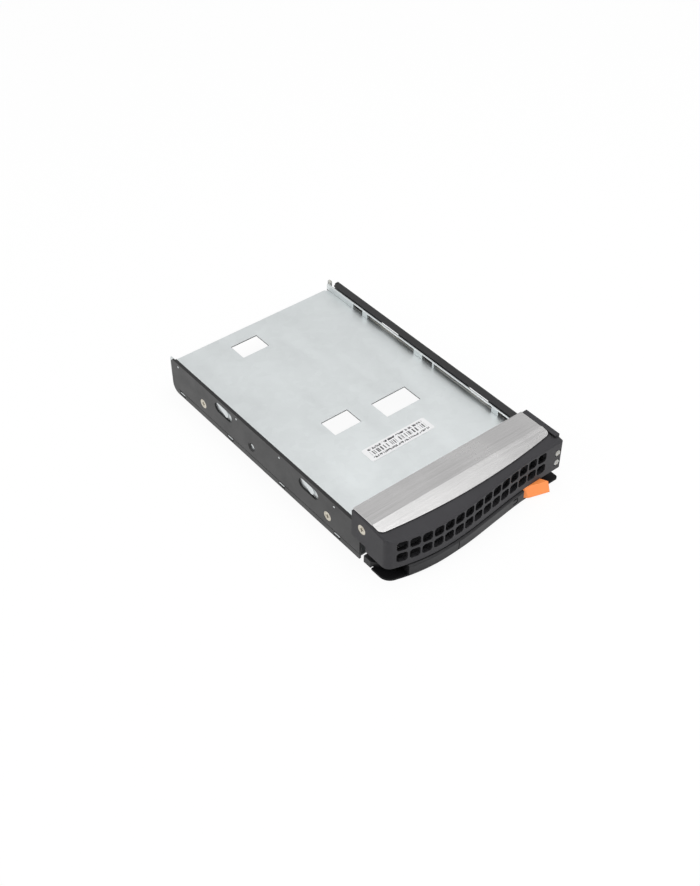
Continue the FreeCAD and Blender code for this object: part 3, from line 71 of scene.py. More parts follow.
class Bench:
    """A node tree with short ways to add nodes and to join their sockets."""

    def __init__(self, tree: bpy.types.NodeTree) -> None:
        """Keeps the tree that the nodes go into."""
        self.tree = tree

    @classmethod
    def clear(cls, owner: bpy.types.Material | bpy.types.World) -> "Bench":
        """The bench of a material or a world, with its first nodes taken away."""
        owner.use_nodes = True
        owner.node_tree.nodes.clear()
        return cls(owner.node_tree)

    def add(
        self, kind: str, feeds: Mapping[str | int, Value] | None = None, **settings: object
    ) -> bpy.types.Node:
        """Adds a node.

        Args:
            kind: Blender's name of the node type.
            feeds: What each input takes, by its name or number: a value, or a socket to join.
            settings: Properties of the node itself.

        Returns:
            The new node.
        """
        node = self.tree.nodes.new(kind)
        node.location = (200.0 * len(self.tree.nodes), 0.0)
        for name, setting in settings.items():
            setattr(node, name, setting)
        for name, value in (feeds or {}).items():
            self.feed(node.inputs[name], value)
        return node

    def feed(self, target: Socket, value: Value) -> None:
        """Joins a socket to the target, or sets the target to a plain value."""
        if isinstance(value, Socket):
            self.tree.links.new(value, target)
        else:
            target.default_value = value

    def math(self, operation: str, first: Value, second: Value = 0.0) -> Socket:
        """The result of one arithmetic operation on two values."""
        return self.add("ShaderNodeMath", {0: first, 1: second}, operation=operation).outputs[0]

    def mean(self, first: Value, second: Value, share: float = 0.5) -> Socket:
        """The sum of two values, the first by its share and the second by the rest."""
        kept = self.math("MULTIPLY", first, share)
        return self.math("ADD", kept, self.math("MULTIPLY", second, 1.0 - share))

    def span(self, value: Value, over: Span, to: tuple[Value, Value] = UNIT) -> Socket:
        """The value's place in one span, carried over to another and held inside it."""
        feeds = {"Value": value, "From Min": over[0], "From Max": over[1]}
        feeds |= {"To Min": to[0], "To Max": to[1]}
        return self.add("ShaderNodeMapRange", feeds, clamp=True).outputs["Result"]

    def blend(self, share: Value, first: Value, second: Value) -> Socket:
        """A colour that goes from the first to the second as the share goes from 0 to 1."""
        feeds = {"Factor": share, 6: first, 7: second}
        return self.add("ShaderNodeMix", feeds, data_type="RGBA", clamp_factor=True).outputs[2]

    def place(self, stretch: tuple[float, float, float] = (1.0, 1.0, 1.0)) -> Socket:
        """Object coordinates in metres, stretched along each axis."""
        spot = self.add("ShaderNodeTexCoord").outputs["Object"]
        return self.add("ShaderNodeMapping", {"Vector": spot, "Scale": stretch}).outputs["Vector"]

    def axes(self, source: Socket) -> bpy.types.NodeOutputs:
        """The three parts of a vector."""
        return self.add("ShaderNodeSeparateXYZ", {0: source}).outputs

    def noise(self, spot: Socket, scale: Value, detail: float, **more: Value) -> Socket:
        """A cloud of noise.

        Args:
            spot: The coordinates it lies on.
            scale: How many clouds there are to a metre.
            detail: How many finer layers it has.
            more: Any other input of the noise.

        Returns:
            Its value, about 0.5 on average.
        """
        feeds = {"Vector": spot, "Scale": scale, "Detail": detail, **more}
        return self.add("ShaderNodeTexNoise", feeds).outputs[0]


class Effect:
    """A surface effect that several finishes share, kept as one shader node group."""

    name: str = ""
    takes: tuple[tuple[str, float], ...] = ()
    gives: tuple[tuple[str, str], ...] = ()

    @classmethod
    def wire(cls, bench: Bench, given: bpy.types.NodeOutputs) -> Mapping[str, Value]:
        """Adds the group's own nodes.

        Args:
            bench: The group's tree.
            given: The group's inputs.

        Returns:
            What each output puts out.
        """
        raise NotImplementedError

    @classmethod
    def tree(cls) -> bpy.types.NodeTree:
        """The node group, built at its first use."""
        known = bpy.data.node_groups.get(cls.name)
        if known is not None:
            return known
        tree = bpy.data.node_groups.new(cls.name, "ShaderNodeTree")
        for name, default in cls.takes:
            socket = tree.interface.new_socket(
                name, in_out="INPUT", socket_type="NodeSocketFloat"
            )
            socket.default_value = default
        for name, kind in cls.gives:
            tree.interface.new_socket(name, in_out="OUTPUT", socket_type=kind)
        bench = Bench(tree)
        way_in = bench.add("NodeGroupInput")
        way_out = bench.add("NodeGroupOutput")
        for name, value in cls.wire(bench, way_in.outputs).items():
            bench.feed(way_out.inputs[name], value)
        return tree

    @classmethod
    def put(cls, bench: Bench, **values: Value) -> bpy.types.NodeOutputs:
        """Places the group in a material.

        Args:
            bench: The material's tree.
            values: The group's inputs by name.

        Returns:
            The outputs of the placed group.
        """
        return bench.add("ShaderNodeGroup", values, node_tree=cls.tree()).outputs


class EdgeWear(Effect):
    """Softened edges, and a mask of the places where handling has rubbed them, which the moulded
    plastic and the brushed cover also use as a painted edge highlight.
    """

    name = "edge_wear"
    takes = (("Radius", 0.0003), ("Patches", 900.0), ("Amount", 0.5))
    gives = (("Normal", "NodeSocketVector"), ("Mask", "NodeSocketFloat"))
    turn: Span = (0.02, 0.28)
    patch: Span = (0.42, 0.66)

    @classmethod
    def wire(cls, bench: Bench, given: bpy.types.NodeOutputs) -> Mapping[str, Value]:
        """Compares the rounded normal with the plain one, and breaks the line up with noise."""
        rounded = bench.add("ShaderNodeBevel", {"Radius": given["Radius"]}, samples=PROBES)
        soft = rounded.outputs["Normal"]
        plain = bench.add("ShaderNodeNewGeometry").outputs["Normal"]
        likeness = bench.add(
            "ShaderNodeVectorMath", {0: soft, 1: plain}, operation="DOT_PRODUCT"
        ).outputs["Value"]
        edge = bench.span(bench.math("SUBTRACT", 1.0, likeness), cls.turn)
        patch = bench.span(bench.noise(bench.place(), given["Patches"], 3.0), cls.patch)
        rubbed = bench.math("MULTIPLY", bench.math("MULTIPLY", edge, patch), given["Amount"])
        return {"Normal": soft, "Mask": rubbed}


class Grain(Effect):
    """The fine etched texture of a mould or of a sprayed coat."""

    name = "grain"
    takes = (("Scale", 2600.0),)
    gives = (("Height", "NodeSocketFloat"), ("Shade", "NodeSocketFloat"))
    coarser: float = 0.02
    shade: Span = (0.3, 0.7)

    @classmethod
    def wire(cls, bench: Bench, given: bpy.types.NodeOutputs) -> Mapping[str, Value]:
        """Fine noise for the height of the texture, and coarse noise for its change of tone."""
        spot = bench.place()
        fine = bench.noise(spot, given["Scale"], 2.0)
        coarse = bench.noise(spot, bench.math("MULTIPLY", given["Scale"], cls.coarser), 4.0)
        return {"Height": fine, "Shade": bench.span(coarse, cls.shade)}


class Spangle(Effect):
    """The flat crystals of hot dip zinc, each with its own tone."""

    name = "spangle"
    takes = (("Crystals", 160.0),)
    gives = (
        ("Shade", "NodeSocketFloat"), ("Height", "NodeSocketFloat"), ("Smear", "NodeSocketFloat"),
    )
    warp: float = 140.0
    push: float = 4.0 * MILLIMETRE
    marks: float = 90.0
    marks_stretch: tuple[float, float, float] = (1.0, 0.22, 1.0)
    crystal_share: float = 0.55
    crystal_height: float = 0.4
    smear: Span = (0.35, 0.65)

    @classmethod
    def wire(cls, bench: Bench, given: bpy.types.NodeOutputs) -> Mapping[str, Value]:
        """Cells of a warped cell pattern, under the slow marks that rolling leaves."""
        spot = bench.place()
        warp = bench.add("ShaderNodeTexNoise", {"Vector": spot, "Scale": cls.warp, "Detail": 3.0})
        push = bench.add(
            "ShaderNodeVectorMath",
            {0: warp.outputs["Color"], 1: (cls.push,) * 3},
            operation="MULTIPLY",
        ).outputs[0]
        bent = bench.add("ShaderNodeVectorMath", {0: spot, 1: push}, operation="ADD").outputs[0]
        cells = bench.add(
            "ShaderNodeTexVoronoi", {"Vector": bent, "Scale": given["Crystals"]}, feature="F1"
        )
        tone = bench.add("ShaderNodeSeparateColor", {0: cells.outputs["Color"]}).outputs[0]
        rolled = bench.noise(bench.place(cls.marks_stretch), cls.marks, 5.0)
        crystals = bench.math("MULTIPLY", cells.outputs["Distance"], cls.crystal_height)
        return {
            "Shade": bench.mean(tone, rolled, cls.crystal_share),
            "Height": bench.math("ADD", crystals, rolled),
            "Smear": bench.span(rolled, cls.smear),
        }


class BrushedLines(Effect):
    """The straight scratches of a belt that ran along the sheet."""

    name = "brushed_lines"
    takes = (("Density", 2400.0),)
    gives = (("Shade", "NodeSocketFloat"), ("Height", "NodeSocketFloat"))
    fine_stretch: tuple[float, float, float] = (0.012, 1.0, 1.0)
    wide_stretch: tuple[float, float, float] = (0.02, 1.0, 1.0)
    wider: float = 0.18
    fine_share: float = 0.6
    shade: Span = (0.32, 0.68)

    @classmethod
    def wire(cls, bench: Bench, given: bpy.types.NodeOutputs) -> Mapping[str, Value]:
        """Noise that is long along X and fine across it, in two widths."""
        fine = bench.noise(bench.place(cls.fine_stretch), given["Density"], 3.0)
        wide_scale = bench.math("MULTIPLY", given["Density"], cls.wider)
        wide = bench.noise(bench.place(cls.wide_stretch), wide_scale, 4.0)
        both = bench.mean(fine, wide, cls.fine_share)
        return {"Shade": bench.span(both, cls.shade), "Height": fine}


class Smudges(Effect):
    """Faint marks of handling that change how glossy a surface is."""

    name = "smudges"
    takes = (("Scale", 70.0),)
    gives = (("Mask", "NodeSocketFloat"),)
    clouds: Span = (0.38, 0.68)

    @classmethod
    def wire(cls, bench: Bench, given: bpy.types.NodeOutputs) -> Mapping[str, Value]:
        """Soft clouds of noise."""
        cloud = bench.noise(bench.place(), given["Scale"], 6.0, Roughness=0.6)
        return {"Mask": bench.span(cloud, cls.clouds)}


class RecessShade(Effect):
    """How open a spot is to the room, the mask for the painted shade that darkens deep recesses.
    """

    name = "painted_recess_shade"
    takes = (("Reach", 0.006),)
    gives = (("Open", "NodeSocketFloat"),)
    room: Span = (0.3, 0.8)

    @classmethod
    def wire(cls, bench: Bench, given: bpy.types.NodeOutputs) -> Mapping[str, Value]:
        """Measures the free room round the spot within the reach."""
        probe = bench.add(
            "ShaderNodeAmbientOcclusion", {"Distance": given["Reach"]}, samples=PROBES
        )
        return {"Open": bench.span(probe.outputs["AO"], cls.room)}


class CutEdge(Effect):
    """A mask of the sheared edges of a flat sheet, which stay bare and dark."""

    name = "cut_edge"
    takes = (("Low", 0.0), ("High", 0.001), ("Half", 0.03))
    gives = (("Mask", "NodeSocketFloat"),)
    upright: float = 0.5

    @classmethod
    def wire(cls, bench: Bench, given: bpy.types.NodeOutputs) -> Mapping[str, Value]:
        """Finds upright faces in the sheet's thickness and inside its half width."""
        spot = bench.axes(bench.add("ShaderNodeTexCoord").outputs["Object"])
        facing = bench.axes(bench.add("ShaderNodeNewGeometry").outputs["True Normal"])
        mask = bench.math("LESS_THAN", bench.math("ABSOLUTE", facing[2]), cls.upright)
        for value, limit, operation in (
            (spot[2], given["Low"], "GREATER_THAN"),
            (spot[2], given["High"], "LESS_THAN"),
            (bench.math("ABSOLUTE", spot[0]), given["Half"], "LESS_THAN"),
        ):
            mask = bench.math("MULTIPLY", mask, bench.math(operation, value, limit))
        return {"Mask": mask}


@dataclass(frozen=True)
class Finish:
    """What every finish has, and how its material is opened and closed."""

    name: str
    colour: Colour
    roughness: float

    @property
    def title(self) -> str:
        """The name of the material, which no plain material of the frame has."""
        return f"{self.name}_finish"

    def open(self) -> tuple[bpy.types.Material, Bench, bpy.types.Node]:
        """Makes an empty material.

        Returns:
            The material, its node tree and its surface shader.
        """
        material = bpy.data.materials.new(self.title)
        bench = Bench.clear(material)
        out = bench.add("ShaderNodeOutputMaterial")
        surface = bench.add("ShaderNodeBsdfPrincipled", {"Roughness": self.roughness})
        bench.feed(out.inputs["Surface"], surface.outputs[0])
        return material, bench, surface

    def roughen(
        self, bench: Bench, surface: bpy.types.Node, mask: Value, less: float, more: float
    ) -> None:
        """Lets a mask change the roughness, from a little less to a little more than plain."""
        limits = (self.roughness - less, self.roughness + more)
        bench.feed(surface.inputs["Roughness"], bench.span(mask, UNIT, limits))

    def raise_surface(
        self,
        bench: Bench,
        surface: bpy.types.Node,
        height: Value,
        depth: float,
        normal: Value,
        strength: float = 1.0,
    ) -> None:
        """Gives the surface a bump.

        Args:
            bench: The material's tree.
            surface: The surface shader.
            height: The height of the bump, from 0 to 1.
            depth: How far a height of 1 stands up, in metres.
            normal: The normal that the bump stands on.
            strength: How much of the bump shows.
        """
        feeds = {"Height": height, "Distance": depth, "Strength": strength, "Normal": normal}
        bump = bench.add("ShaderNodeBump", feeds)
        bench.feed(surface.inputs["Normal"], bump.outputs["Normal"])

    def make(self) -> bpy.types.Material:
        """The finished material."""
        raise NotImplementedError


@dataclass(frozen=True)
class MouldedPlastic(Finish):
    """Injection moulded plastic with an etched texture."""

    grain: float = 2600.0
    depth: float = 0.02 * MILLIMETRE
    # Lighter colour of rubbed edges, which also stands in for a painted edge highlight.
    rubbed: Colour = (0.12, 0.12, 0.12)
    wear: float = 0.35
    edge: float = 0.3 * MILLIMETRE
    gloss: float = 0.35
    # Share of colour and reflection kept in the deepest recess under the painted shade.
    painted_shade_keep: float = 0.12
    reach: float = 10.0 * MILLIMETRE
    darker: float = 0.86
    clouds: float = 55.0
    # Strength of a painted glow, emission from a part that is no lamp.
    glow: float = 0.0

    def make(self) -> bpy.types.Material:
        """Etched texture, slow changes of tone, softened edges lighter where polished by handling
        and as a painted highlight, painted shade in recesses, and a painted glow where one is
        set.
        """
        material, bench, surface = self.open()
        surface.inputs["Specular IOR Level"].default_value = self.gloss
        # Painted shade: shut-in spots get a colour pulled toward black, and Metallic over that
        # black takes their reflection away too.
        free = RecessShade.put(bench, Reach=self.reach)["Open"]
        room = bench.span(free, UNIT, (self.painted_shade_keep, 1.0))
        bench.feed(surface.inputs["Metallic"], bench.math("SUBTRACT", 1.0, room))
        grain = Grain.put(bench, Scale=self.grain)
        edge = EdgeWear.put(bench, Radius=self.edge, Amount=self.wear)
        marks = Smudges.put(bench, Scale=self.clouds)
        dark = opaque(scaled(self.colour, self.darker))
        base = bench.blend(grain["Shade"], dark, opaque(self.colour))
        # Rubbed edges take the lighter colour: partly wear, partly a painted edge highlight.
        worn = bench.blend(edge["Mask"], base, opaque(self.rubbed))
        # Painted shade: the colour goes to black where the spot is shut in.
        shaded = bench.blend(room, opaque(BLACK), worn)
        bench.feed(surface.inputs["Base Color"], shaded)
        # Painted glow: the surface gives off its own shaded colour, so the part glows though it
        # is no lamp.
        if self.glow:
            bench.feed(surface.inputs["Emission Color"], shaded)
            surface.inputs["Emission Strength"].default_value = self.glow
        self.roughen(bench, surface, marks["Mask"], 0.05, 0.06)
        self.raise_surface(bench, surface, grain["Height"], self.depth, edge["Normal"])
        return material


@dataclass(frozen=True)
class PaintedSteel(Finish):
    """Sheet steel under a thin satin coat, rubbed through to the metal on its corners."""

    bare: Colour = (0.30, 0.29, 0.28)
    wear: float = 0.4
    edge: float = 0.22 * MILLIMETRE
    patches: float = 700.0
    gloss: float = 0.45
    peel: float = 1500.0
    depth: float = 0.012 * MILLIMETRE
    clouds: float = 90.0
    lighter: float = 1.25

    def make(self) -> bpy.types.Material:
        """A sprayed coat with a slight orange peel, and bright steel where edges are rubbed."""
        material, bench, surface = self.open()
        surface.inputs["Specular IOR Level"].default_value = self.gloss
        grain = Grain.put(bench, Scale=self.peel)
        edge = EdgeWear.put(bench, Radius=self.edge, Patches=self.patches, Amount=self.wear)
        marks = Smudges.put(bench, Scale=self.clouds)
        light = opaque(scaled(self.colour, self.lighter))
        coat = bench.blend(marks["Mask"], opaque(self.colour), light)
        worn = bench.blend(edge["Mask"], coat, opaque(self.bare))
        bench.feed(surface.inputs["Base Color"], worn)
        bench.feed(surface.inputs["Metallic"], edge["Mask"])
        self.roughen(bench, surface, marks["Mask"], 0.04, 0.08)
        self.raise_surface(bench, surface, grain["Height"], self.depth, edge["Normal"])
        return material


@dataclass(frozen=True)
class GalvanisedSteel(Finish):
    """Sheet steel with a zinc coat, bare where it was sheared.

    The sheet field holds the lowest and highest point of its flat web, and half holds the
    distance from the middle within which upright faces count as sheared.
    """

    dull: Colour = (0.715, 0.748, 0.753)
    rubbed: Colour = (0.82, 0.83, 0.83)
    bare: Colour = (0.10, 0.10, 0.10)
    crystals: float = 300.0
    edge: float = 0.18 * MILLIMETRE
    wear: float = 0.5
    clouds: float = 45.0
    metal: float = 0.85
    depth: float = 0.03 * MILLIMETRE
    sheet: Span = (0.0, 0.0)
    half: float = 0.0

    def make(self) -> bpy.types.Material:
        """Zinc crystals, rolling marks, softened edges and dark cuts."""
        material, bench, surface = self.open()
        spangle = Spangle.put(bench, Crystals=self.crystals)
        edge = EdgeWear.put(bench, Radius=self.edge, Amount=self.wear)
        marks = Smudges.put(bench, Scale=self.clouds)
        zinc = bench.blend(spangle["Shade"], opaque(self.dull), opaque(self.colour))
        worn = bench.blend(edge["Mask"], zinc, opaque(self.rubbed))
        cut = CutEdge.put(bench, Low=self.sheet[0], High=self.sheet[1], Half=self.half)["Mask"]
        bench.feed(surface.inputs["Base Color"], bench.blend(cut, worn, opaque(self.bare)))
        surface.inputs["Metallic"].default_value = self.metal
        smear = bench.mean(spangle["Smear"], marks["Mask"])
        self.roughen(bench, surface, smear, 0.05, 0.08)
        self.raise_surface(bench, surface, spangle["Height"], self.depth, edge["Normal"], 0.6)
        return material


@dataclass(frozen=True)
class BrushedSteel(Finish):
    """Stainless sheet with a belt finish along X."""

    light: Colour = (0.635, 0.628, 0.627)
    # Pale colour of rubbed edges, which also stands in for a painted edge highlight.
    rubbed: Colour = (0.86, 0.85, 0.83)
    density: float = 2600.0
    edge: float = 0.2 * MILLIMETRE
    wear: float = 0.6
    clouds: float = 40.0
    depth: float = 0.02 * MILLIMETRE

    def make(self) -> bpy.types.Material:
        """Brushed lines over a soft change of tone."""
        material, bench, surface = self.open()
        lines = BrushedLines.put(bench, Density=self.density)
        edge = EdgeWear.put(bench, Radius=self.edge, Amount=self.wear)
        marks = Smudges.put(bench, Scale=self.clouds)
        steel = bench.blend(lines["Shade"], opaque(self.colour), opaque(self.light))
        # Rubbed edges take the pale colour: partly wear, partly a painted edge highlight along
        # the cover's rim.
        worn = bench.blend(edge["Mask"], steel, opaque(self.rubbed))
        bench.feed(surface.inputs["Base Color"], worn)
        surface.inputs["Metallic"].default_value = 1.0
        self.roughen(bench, surface, marks["Mask"], 0.04, 0.06)
        self.raise_surface(bench, surface, lines["Height"], self.depth, edge["Normal"], 0.7)
        return material


@dataclass(frozen=True)
class PlatedSteel(Finish):
    """Small turned or wound parts with a nickel or zinc plate."""

    stain: Colour = (0.36, 0.31, 0.24)
    rubbed: Colour = (0.9, 0.88, 0.84)
    tool_marks: float = 5200.0
    edge: float = 0.12 * MILLIMETRE
    wear: float = 0.4
    stains: float = 420.0
    stain_share: float = 0.5
    metal: float = 0.9
    depth: float = 0.01 * MILLIMETRE

    def make(self) -> bpy.types.Material:
        """Bright metal with darker stains and fine tool marks."""
        material, bench, surface = self.open()
        grain = Grain.put(bench, Scale=self.tool_marks)
        edge = EdgeWear.put(bench, Radius=self.edge, Amount=self.wear)
        marks = Smudges.put(bench, Scale=self.stains)
        stained = bench.math("MULTIPLY", marks["Mask"], self.stain_share)
        metal = bench.blend(stained, opaque(self.colour), opaque(self.stain))
        worn = bench.blend(edge["Mask"], metal, opaque(self.rubbed))
        bench.feed(surface.inputs["Base Color"], worn)
        surface.inputs["Metallic"].default_value = self.metal
        self.roughen(bench, surface, marks["Mask"], 0.06, 0.1)
        self.raise_surface(bench, surface, grain["Height"], self.depth, edge["Normal"])
        return material


@dataclass(frozen=True)
class ClearGuide(Finish):
    """Moulded acrylic that carries light from end to end."""

    haze: Colour = (0.80, 0.80, 0.76)
    flow: float = 1400.0
    edge: float = 0.2 * MILLIMETRE
    wear: float = 0.2
    bend: float = 1.49
    clear: float = 0.35
    milky: float = 0.25
    scatter: Colour = (1.2 * MILLIMETRE, 1.1 * MILLIMETRE, 0.9 * MILLIMETRE)
    depth: float = 0.008 * MILLIMETRE

    def make(self) -> bpy.types.Material:
        """Half clear plastic with flow marks and a milky body."""
        material, bench, surface = self.open()
        grain = Grain.put(bench, Scale=self.flow)
        edge = EdgeWear.put(bench, Radius=self.edge, Amount=self.wear)
        body = bench.blend(grain["Shade"], opaque(self.colour), opaque(self.haze))
        bench.feed(surface.inputs["Base Color"], body)
        surface.inputs["IOR"].default_value = self.bend
        surface.inputs["Transmission Weight"].default_value = self.clear
        surface.inputs["Subsurface Weight"].default_value = self.milky
        surface.inputs["Subsurface Radius"].default_value = self.scatter
        surface.inputs["Subsurface Scale"].default_value = 1.0
        self.roughen(bench, surface, grain["Shade"], 0.04, 0.1)
        self.raise_surface(bench, surface, grain["Height"], self.depth, edge["Normal"])
        return material


@dataclass(frozen=True)
class LabelPaper(Finish):
    """Coated paper with plain bars and rows of dashes that stand for no code and no words."""

    ink: Colour = (0.05, 0.05, 0.055)
    sides: Span = (0.0, 0.01)
    band: Span = (0.0, 0.01)
    rows: tuple[Span, ...] = ()
    bar_pitch: float = 1150.0
    bar_level: float = 0.52
    dash_pitch: float = 1050.0
    dash_stretch: tuple[float, float, float] = (1.0, 0.6, 0.0)
    dash_level: float = 0.49
    fibres: float = 2200.0
    darker: float = 0.95
    edge: float = 0.1 * MILLIMETRE
    wear: float = 0.3
    depth: float = 0.01 * MILLIMETRE
    ink_gloss: float = 0.15

    def within(self, bench: Bench, ink: Value, value: Value, limits: Span) -> Socket:
        """The ink where the value lies between the two limits, and no ink elsewhere."""
        above = bench.math("MULTIPLY", ink, bench.math("GREATER_THAN", value, limits[0]))
        return bench.math("MULTIPLY", above, bench.math("LESS_THAN", value, limits[1]))

    def print_ink(self, bench: Bench) -> Socket:
        """A mask of the band of bars and the rows of dashes between the label's sides."""
        axes = bench.axes(bench.add("ShaderNodeTexCoord").outputs["Object"])
        across, along = axes[0], axes[1]
        bars = bench.noise(bench.place((1.0, 0.0, 0.0)), self.bar_pitch, 1.0)
        bar = bench.math("GREATER_THAN", bars, self.bar_level)
        ink = self.within(bench, bar, along, self.band)
        dashes = bench.noise(bench.place(self.dash_stretch), self.dash_pitch, 2.0)
        dash = bench.math("GREATER_THAN", dashes, self.dash_level)
        for row in self.rows:
            ink = bench.math("MAXIMUM", ink, self.within(bench, dash, along, row))
        return self.within(bench, ink, across, self.sides)

    def make(self) -> bpy.types.Material:
        """White paper with fine fibres and a printed mask."""
        material, bench, surface = self.open()
        ink = self.print_ink(bench)
        grain = Grain.put(bench, Scale=self.fibres)
        edge = EdgeWear.put(bench, Radius=self.edge, Amount=self.wear)
        off_white = opaque(scaled(self.colour, self.darker))
        paper = bench.blend(grain["Shade"], off_white, opaque(self.colour))
        bench.feed(surface.inputs["Base Color"], bench.blend(ink, paper, opaque(self.ink)))
        printed = (self.roughness, self.roughness - self.ink_gloss)
        bench.feed(surface.inputs["Roughness"], bench.span(ink, UNIT, printed))
        self.raise_surface(bench, surface, grain["Height"], self.depth, edge["Normal"])
        return material


class Surfaces(Enum):
    """The finishes of the caddy, one for each of its materials."""

    ZINC = GalvanisedSteel("galvanised_sheet", (0.757, 0.792, 0.797), 0.42)
    RAIL = PaintedSteel("rail_paint", (0.009, 0.009, 0.0095), 0.34)
    BEZEL = MouldedPlastic("bezel_plastic", (0.055, 0.054, 0.0585), 0.42, gloss=0.13)
    COVER = BrushedSteel("cover_steel", (0.555, 0.549, 0.548), 0.24)
    BASE = MouldedPlastic(
        "base_plastic", (0.016, 0.0158, 0.0172), 0.44, gloss=0.06, painted_shade_keep=0.8
    )
    LEVER = MouldedPlastic("lever_plastic", (0.026, 0.026, 0.028), 0.36, gloss=0.24)
    LATCH = MouldedPlastic(
        "latch_orange",
        (1.0, 0.31, 0.085),
        0.4,
        grain=2400.0,
        depth=0.012 * MILLIMETRE,
        rubbed=(1.0, 0.42, 0.2),
        wear=0.25,
        painted_shade_keep=0.9,
        # A painted glow that lifts the orange.
        glow=0.3,
    )
    SPRING = PlatedSteel("spring_steel", (0.5, 0.5, 0.5), 0.3, (0.2, 0.19, 0.18))
    GUIDE = ClearGuide("light_pipe", (0.66, 0.65, 0.62), 0.2)
    CLIP = MouldedPlastic("clip_plastic", (0.012, 0.012, 0.013), 0.38)
    SCREW = PlatedSteel("screw_steel", (0.66, 0.62, 0.53), 0.32)

    def material(self) -> bpy.types.Material:
        """The finish as a material, made at its first use."""
        return bpy.data.materials.get(self.value.title) or self.value.make()


def dress(node: str, material: bpy.types.Material) -> None:
    """Puts a material on every slot of a node of the frame, and reports it."""
    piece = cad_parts[node]
    if not piece.material_slots:
        piece.data.materials.append(material)
    for slot in piece.material_slots:
        slot.material = material
    log.info("%s has the finish %s", node, material.name)


@dataclass
class Tray:
    """The adapter plate between its two rails, with the screws that hold them."""

    plate: str = "adapter_plate"
    rails: Sequence[str] = ("left_rail", "right_rail")
    sides: Sequence[str] = ("left", "right")
    screws: Sequence[str] = ("screw_front", "screw_rear", "ear_screw")
    bend: float = 3.0 * MILLIMETRE
    under: float = 1.0 * MILLIMETRE
    over: float = 0.1 * MILLIMETRE

    def zinc(self) -> bpy.types.Material:
        """The zinc finish, told where the plate's web lies so that its cuts stay bare."""
        low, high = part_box(self.plate)
        label_low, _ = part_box("asset_label")
        half = (high.x - low.x) / 2 - self.bend
        sheet = (label_low.z - self.under, label_low.z + self.over)
        return replace(Surfaces.ZINC.value, sheet=sheet, half=half).make()

    def build(self) -> None:
        """Dresses the plate, the rails and the screws."""
        dress(self.plate, self.zinc())
        for rail in self.rails:
            dress(rail, Surfaces.RAIL.material())
        for side in self.sides:
            for screw in self.screws:
                dress(f"{side}_{screw}", Surfaces.SCREW.material())


@dataclass
class Bezel:
    """The moulded front with its vent grid, and the steel cover on top of it."""

    moulding: str = "front_bezel"
    cover: str = "top_cover"

    def build(self) -> None:
        """Dresses the moulding and its cover."""
        dress(self.moulding, Surfaces.BEZEL.material())
        dress(self.cover, Surfaces.COVER.material())


@dataclass
class LightGuides:
    """The two light pipes in the right rail, and the clips that hold them."""

    pipes: Sequence[str] = ("light_pipe_upper", "light_pipe_lower")
    clips: Sequence[str] = ("pipe_clip_front", "pipe_clip_middle", "pipe_clip_rear")

    def build(self) -> None:
        """Dresses the pipes and clips."""
        for pipe in self.pipes:
            dress(pipe, Surfaces.GUIDE.material())
        for clip in self.clips:
            dress(clip, Surfaces.CLIP.material())


@dataclass
class Handle:
    """The swinging lever on its base, with its pivot pin and springs."""

    lever: str = "handle_lever"
    base: str = "handle_base"
    pin: str = "handle_pivot_pin"
    springs: Sequence[str] = ("handle_torsion_spring", "latch_spring")

    def build(self) -> None:
        """Dresses the lever, the base, the pin and the springs."""
        dress(self.lever, Surfaces.LEVER.material())
        dress(self.base, Surfaces.BASE.material())
        dress(self.pin, Surfaces.SPRING.material())
        for spring in self.springs:
            dress(spring, Surfaces.SPRING.material())


@dataclass
class Release:
    """The orange slide that frees the lever."""

    tab: str = "release_latch"

    def build(self) -> None:
        """Dresses the slide."""
        dress(self.tab, Surfaces.LATCH.material())


@dataclass
class AssetLabel:
    """The paper label on the plate.

    The band of bars and the rows of dashes are given as shares of the label's depth.
    """

    node: str = "asset_label"
    paper: Colour = (0.93, 0.93, 0.94)
    roughness: float = 0.5
    margin: float = 2.4 * MILLIMETRE
    band: Span = (0.36, 0.66)
    rows: Sequence[Span] = ((0.13, 0.26), (0.74, 0.87))

    def build(self) -> None:
        """Dresses the label with its band of bars and its rows of dashes."""
        low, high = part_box(self.node)
        depth = high.y - low.y
        spans = [
            tuple(low.y + share * depth for share in pair) for pair in (self.band, *self.rows)
        ]
        finish = LabelPaper(
            "label_paper",
            self.paper,
            self.roughness,
            sides=(low.x + self.margin, high.x - self.margin),
            band=spans[0],
            rows=tuple(spans[1:]),
        )
        dress(self.node, finish.make())


@dataclass(frozen=True)
class SoftBox:
    """A square lamp with a wide soft face."""

    name: str
    place: tuple[float, float, float]
    size: float
    power: float

    def hang(self, aim: Vector) -> None:
        """Hangs the lamp and turns it to a point."""
        lamp = bpy.data.lights.new(self.name, "AREA")
        lamp.shape = "SQUARE"
        lamp.size = self.size
        lamp.energy = self.power
        holder = bpy.data.objects.new(self.name, lamp)
        holder.location = self.place
        holder.rotation_euler = (aim - Vector(self.place)).to_track_quat("-Z", "Y").to_euler()
        bpy.context.scene.collection.objects.link(holder)
        log.info("%s hangs at %s", self.name, self.place)


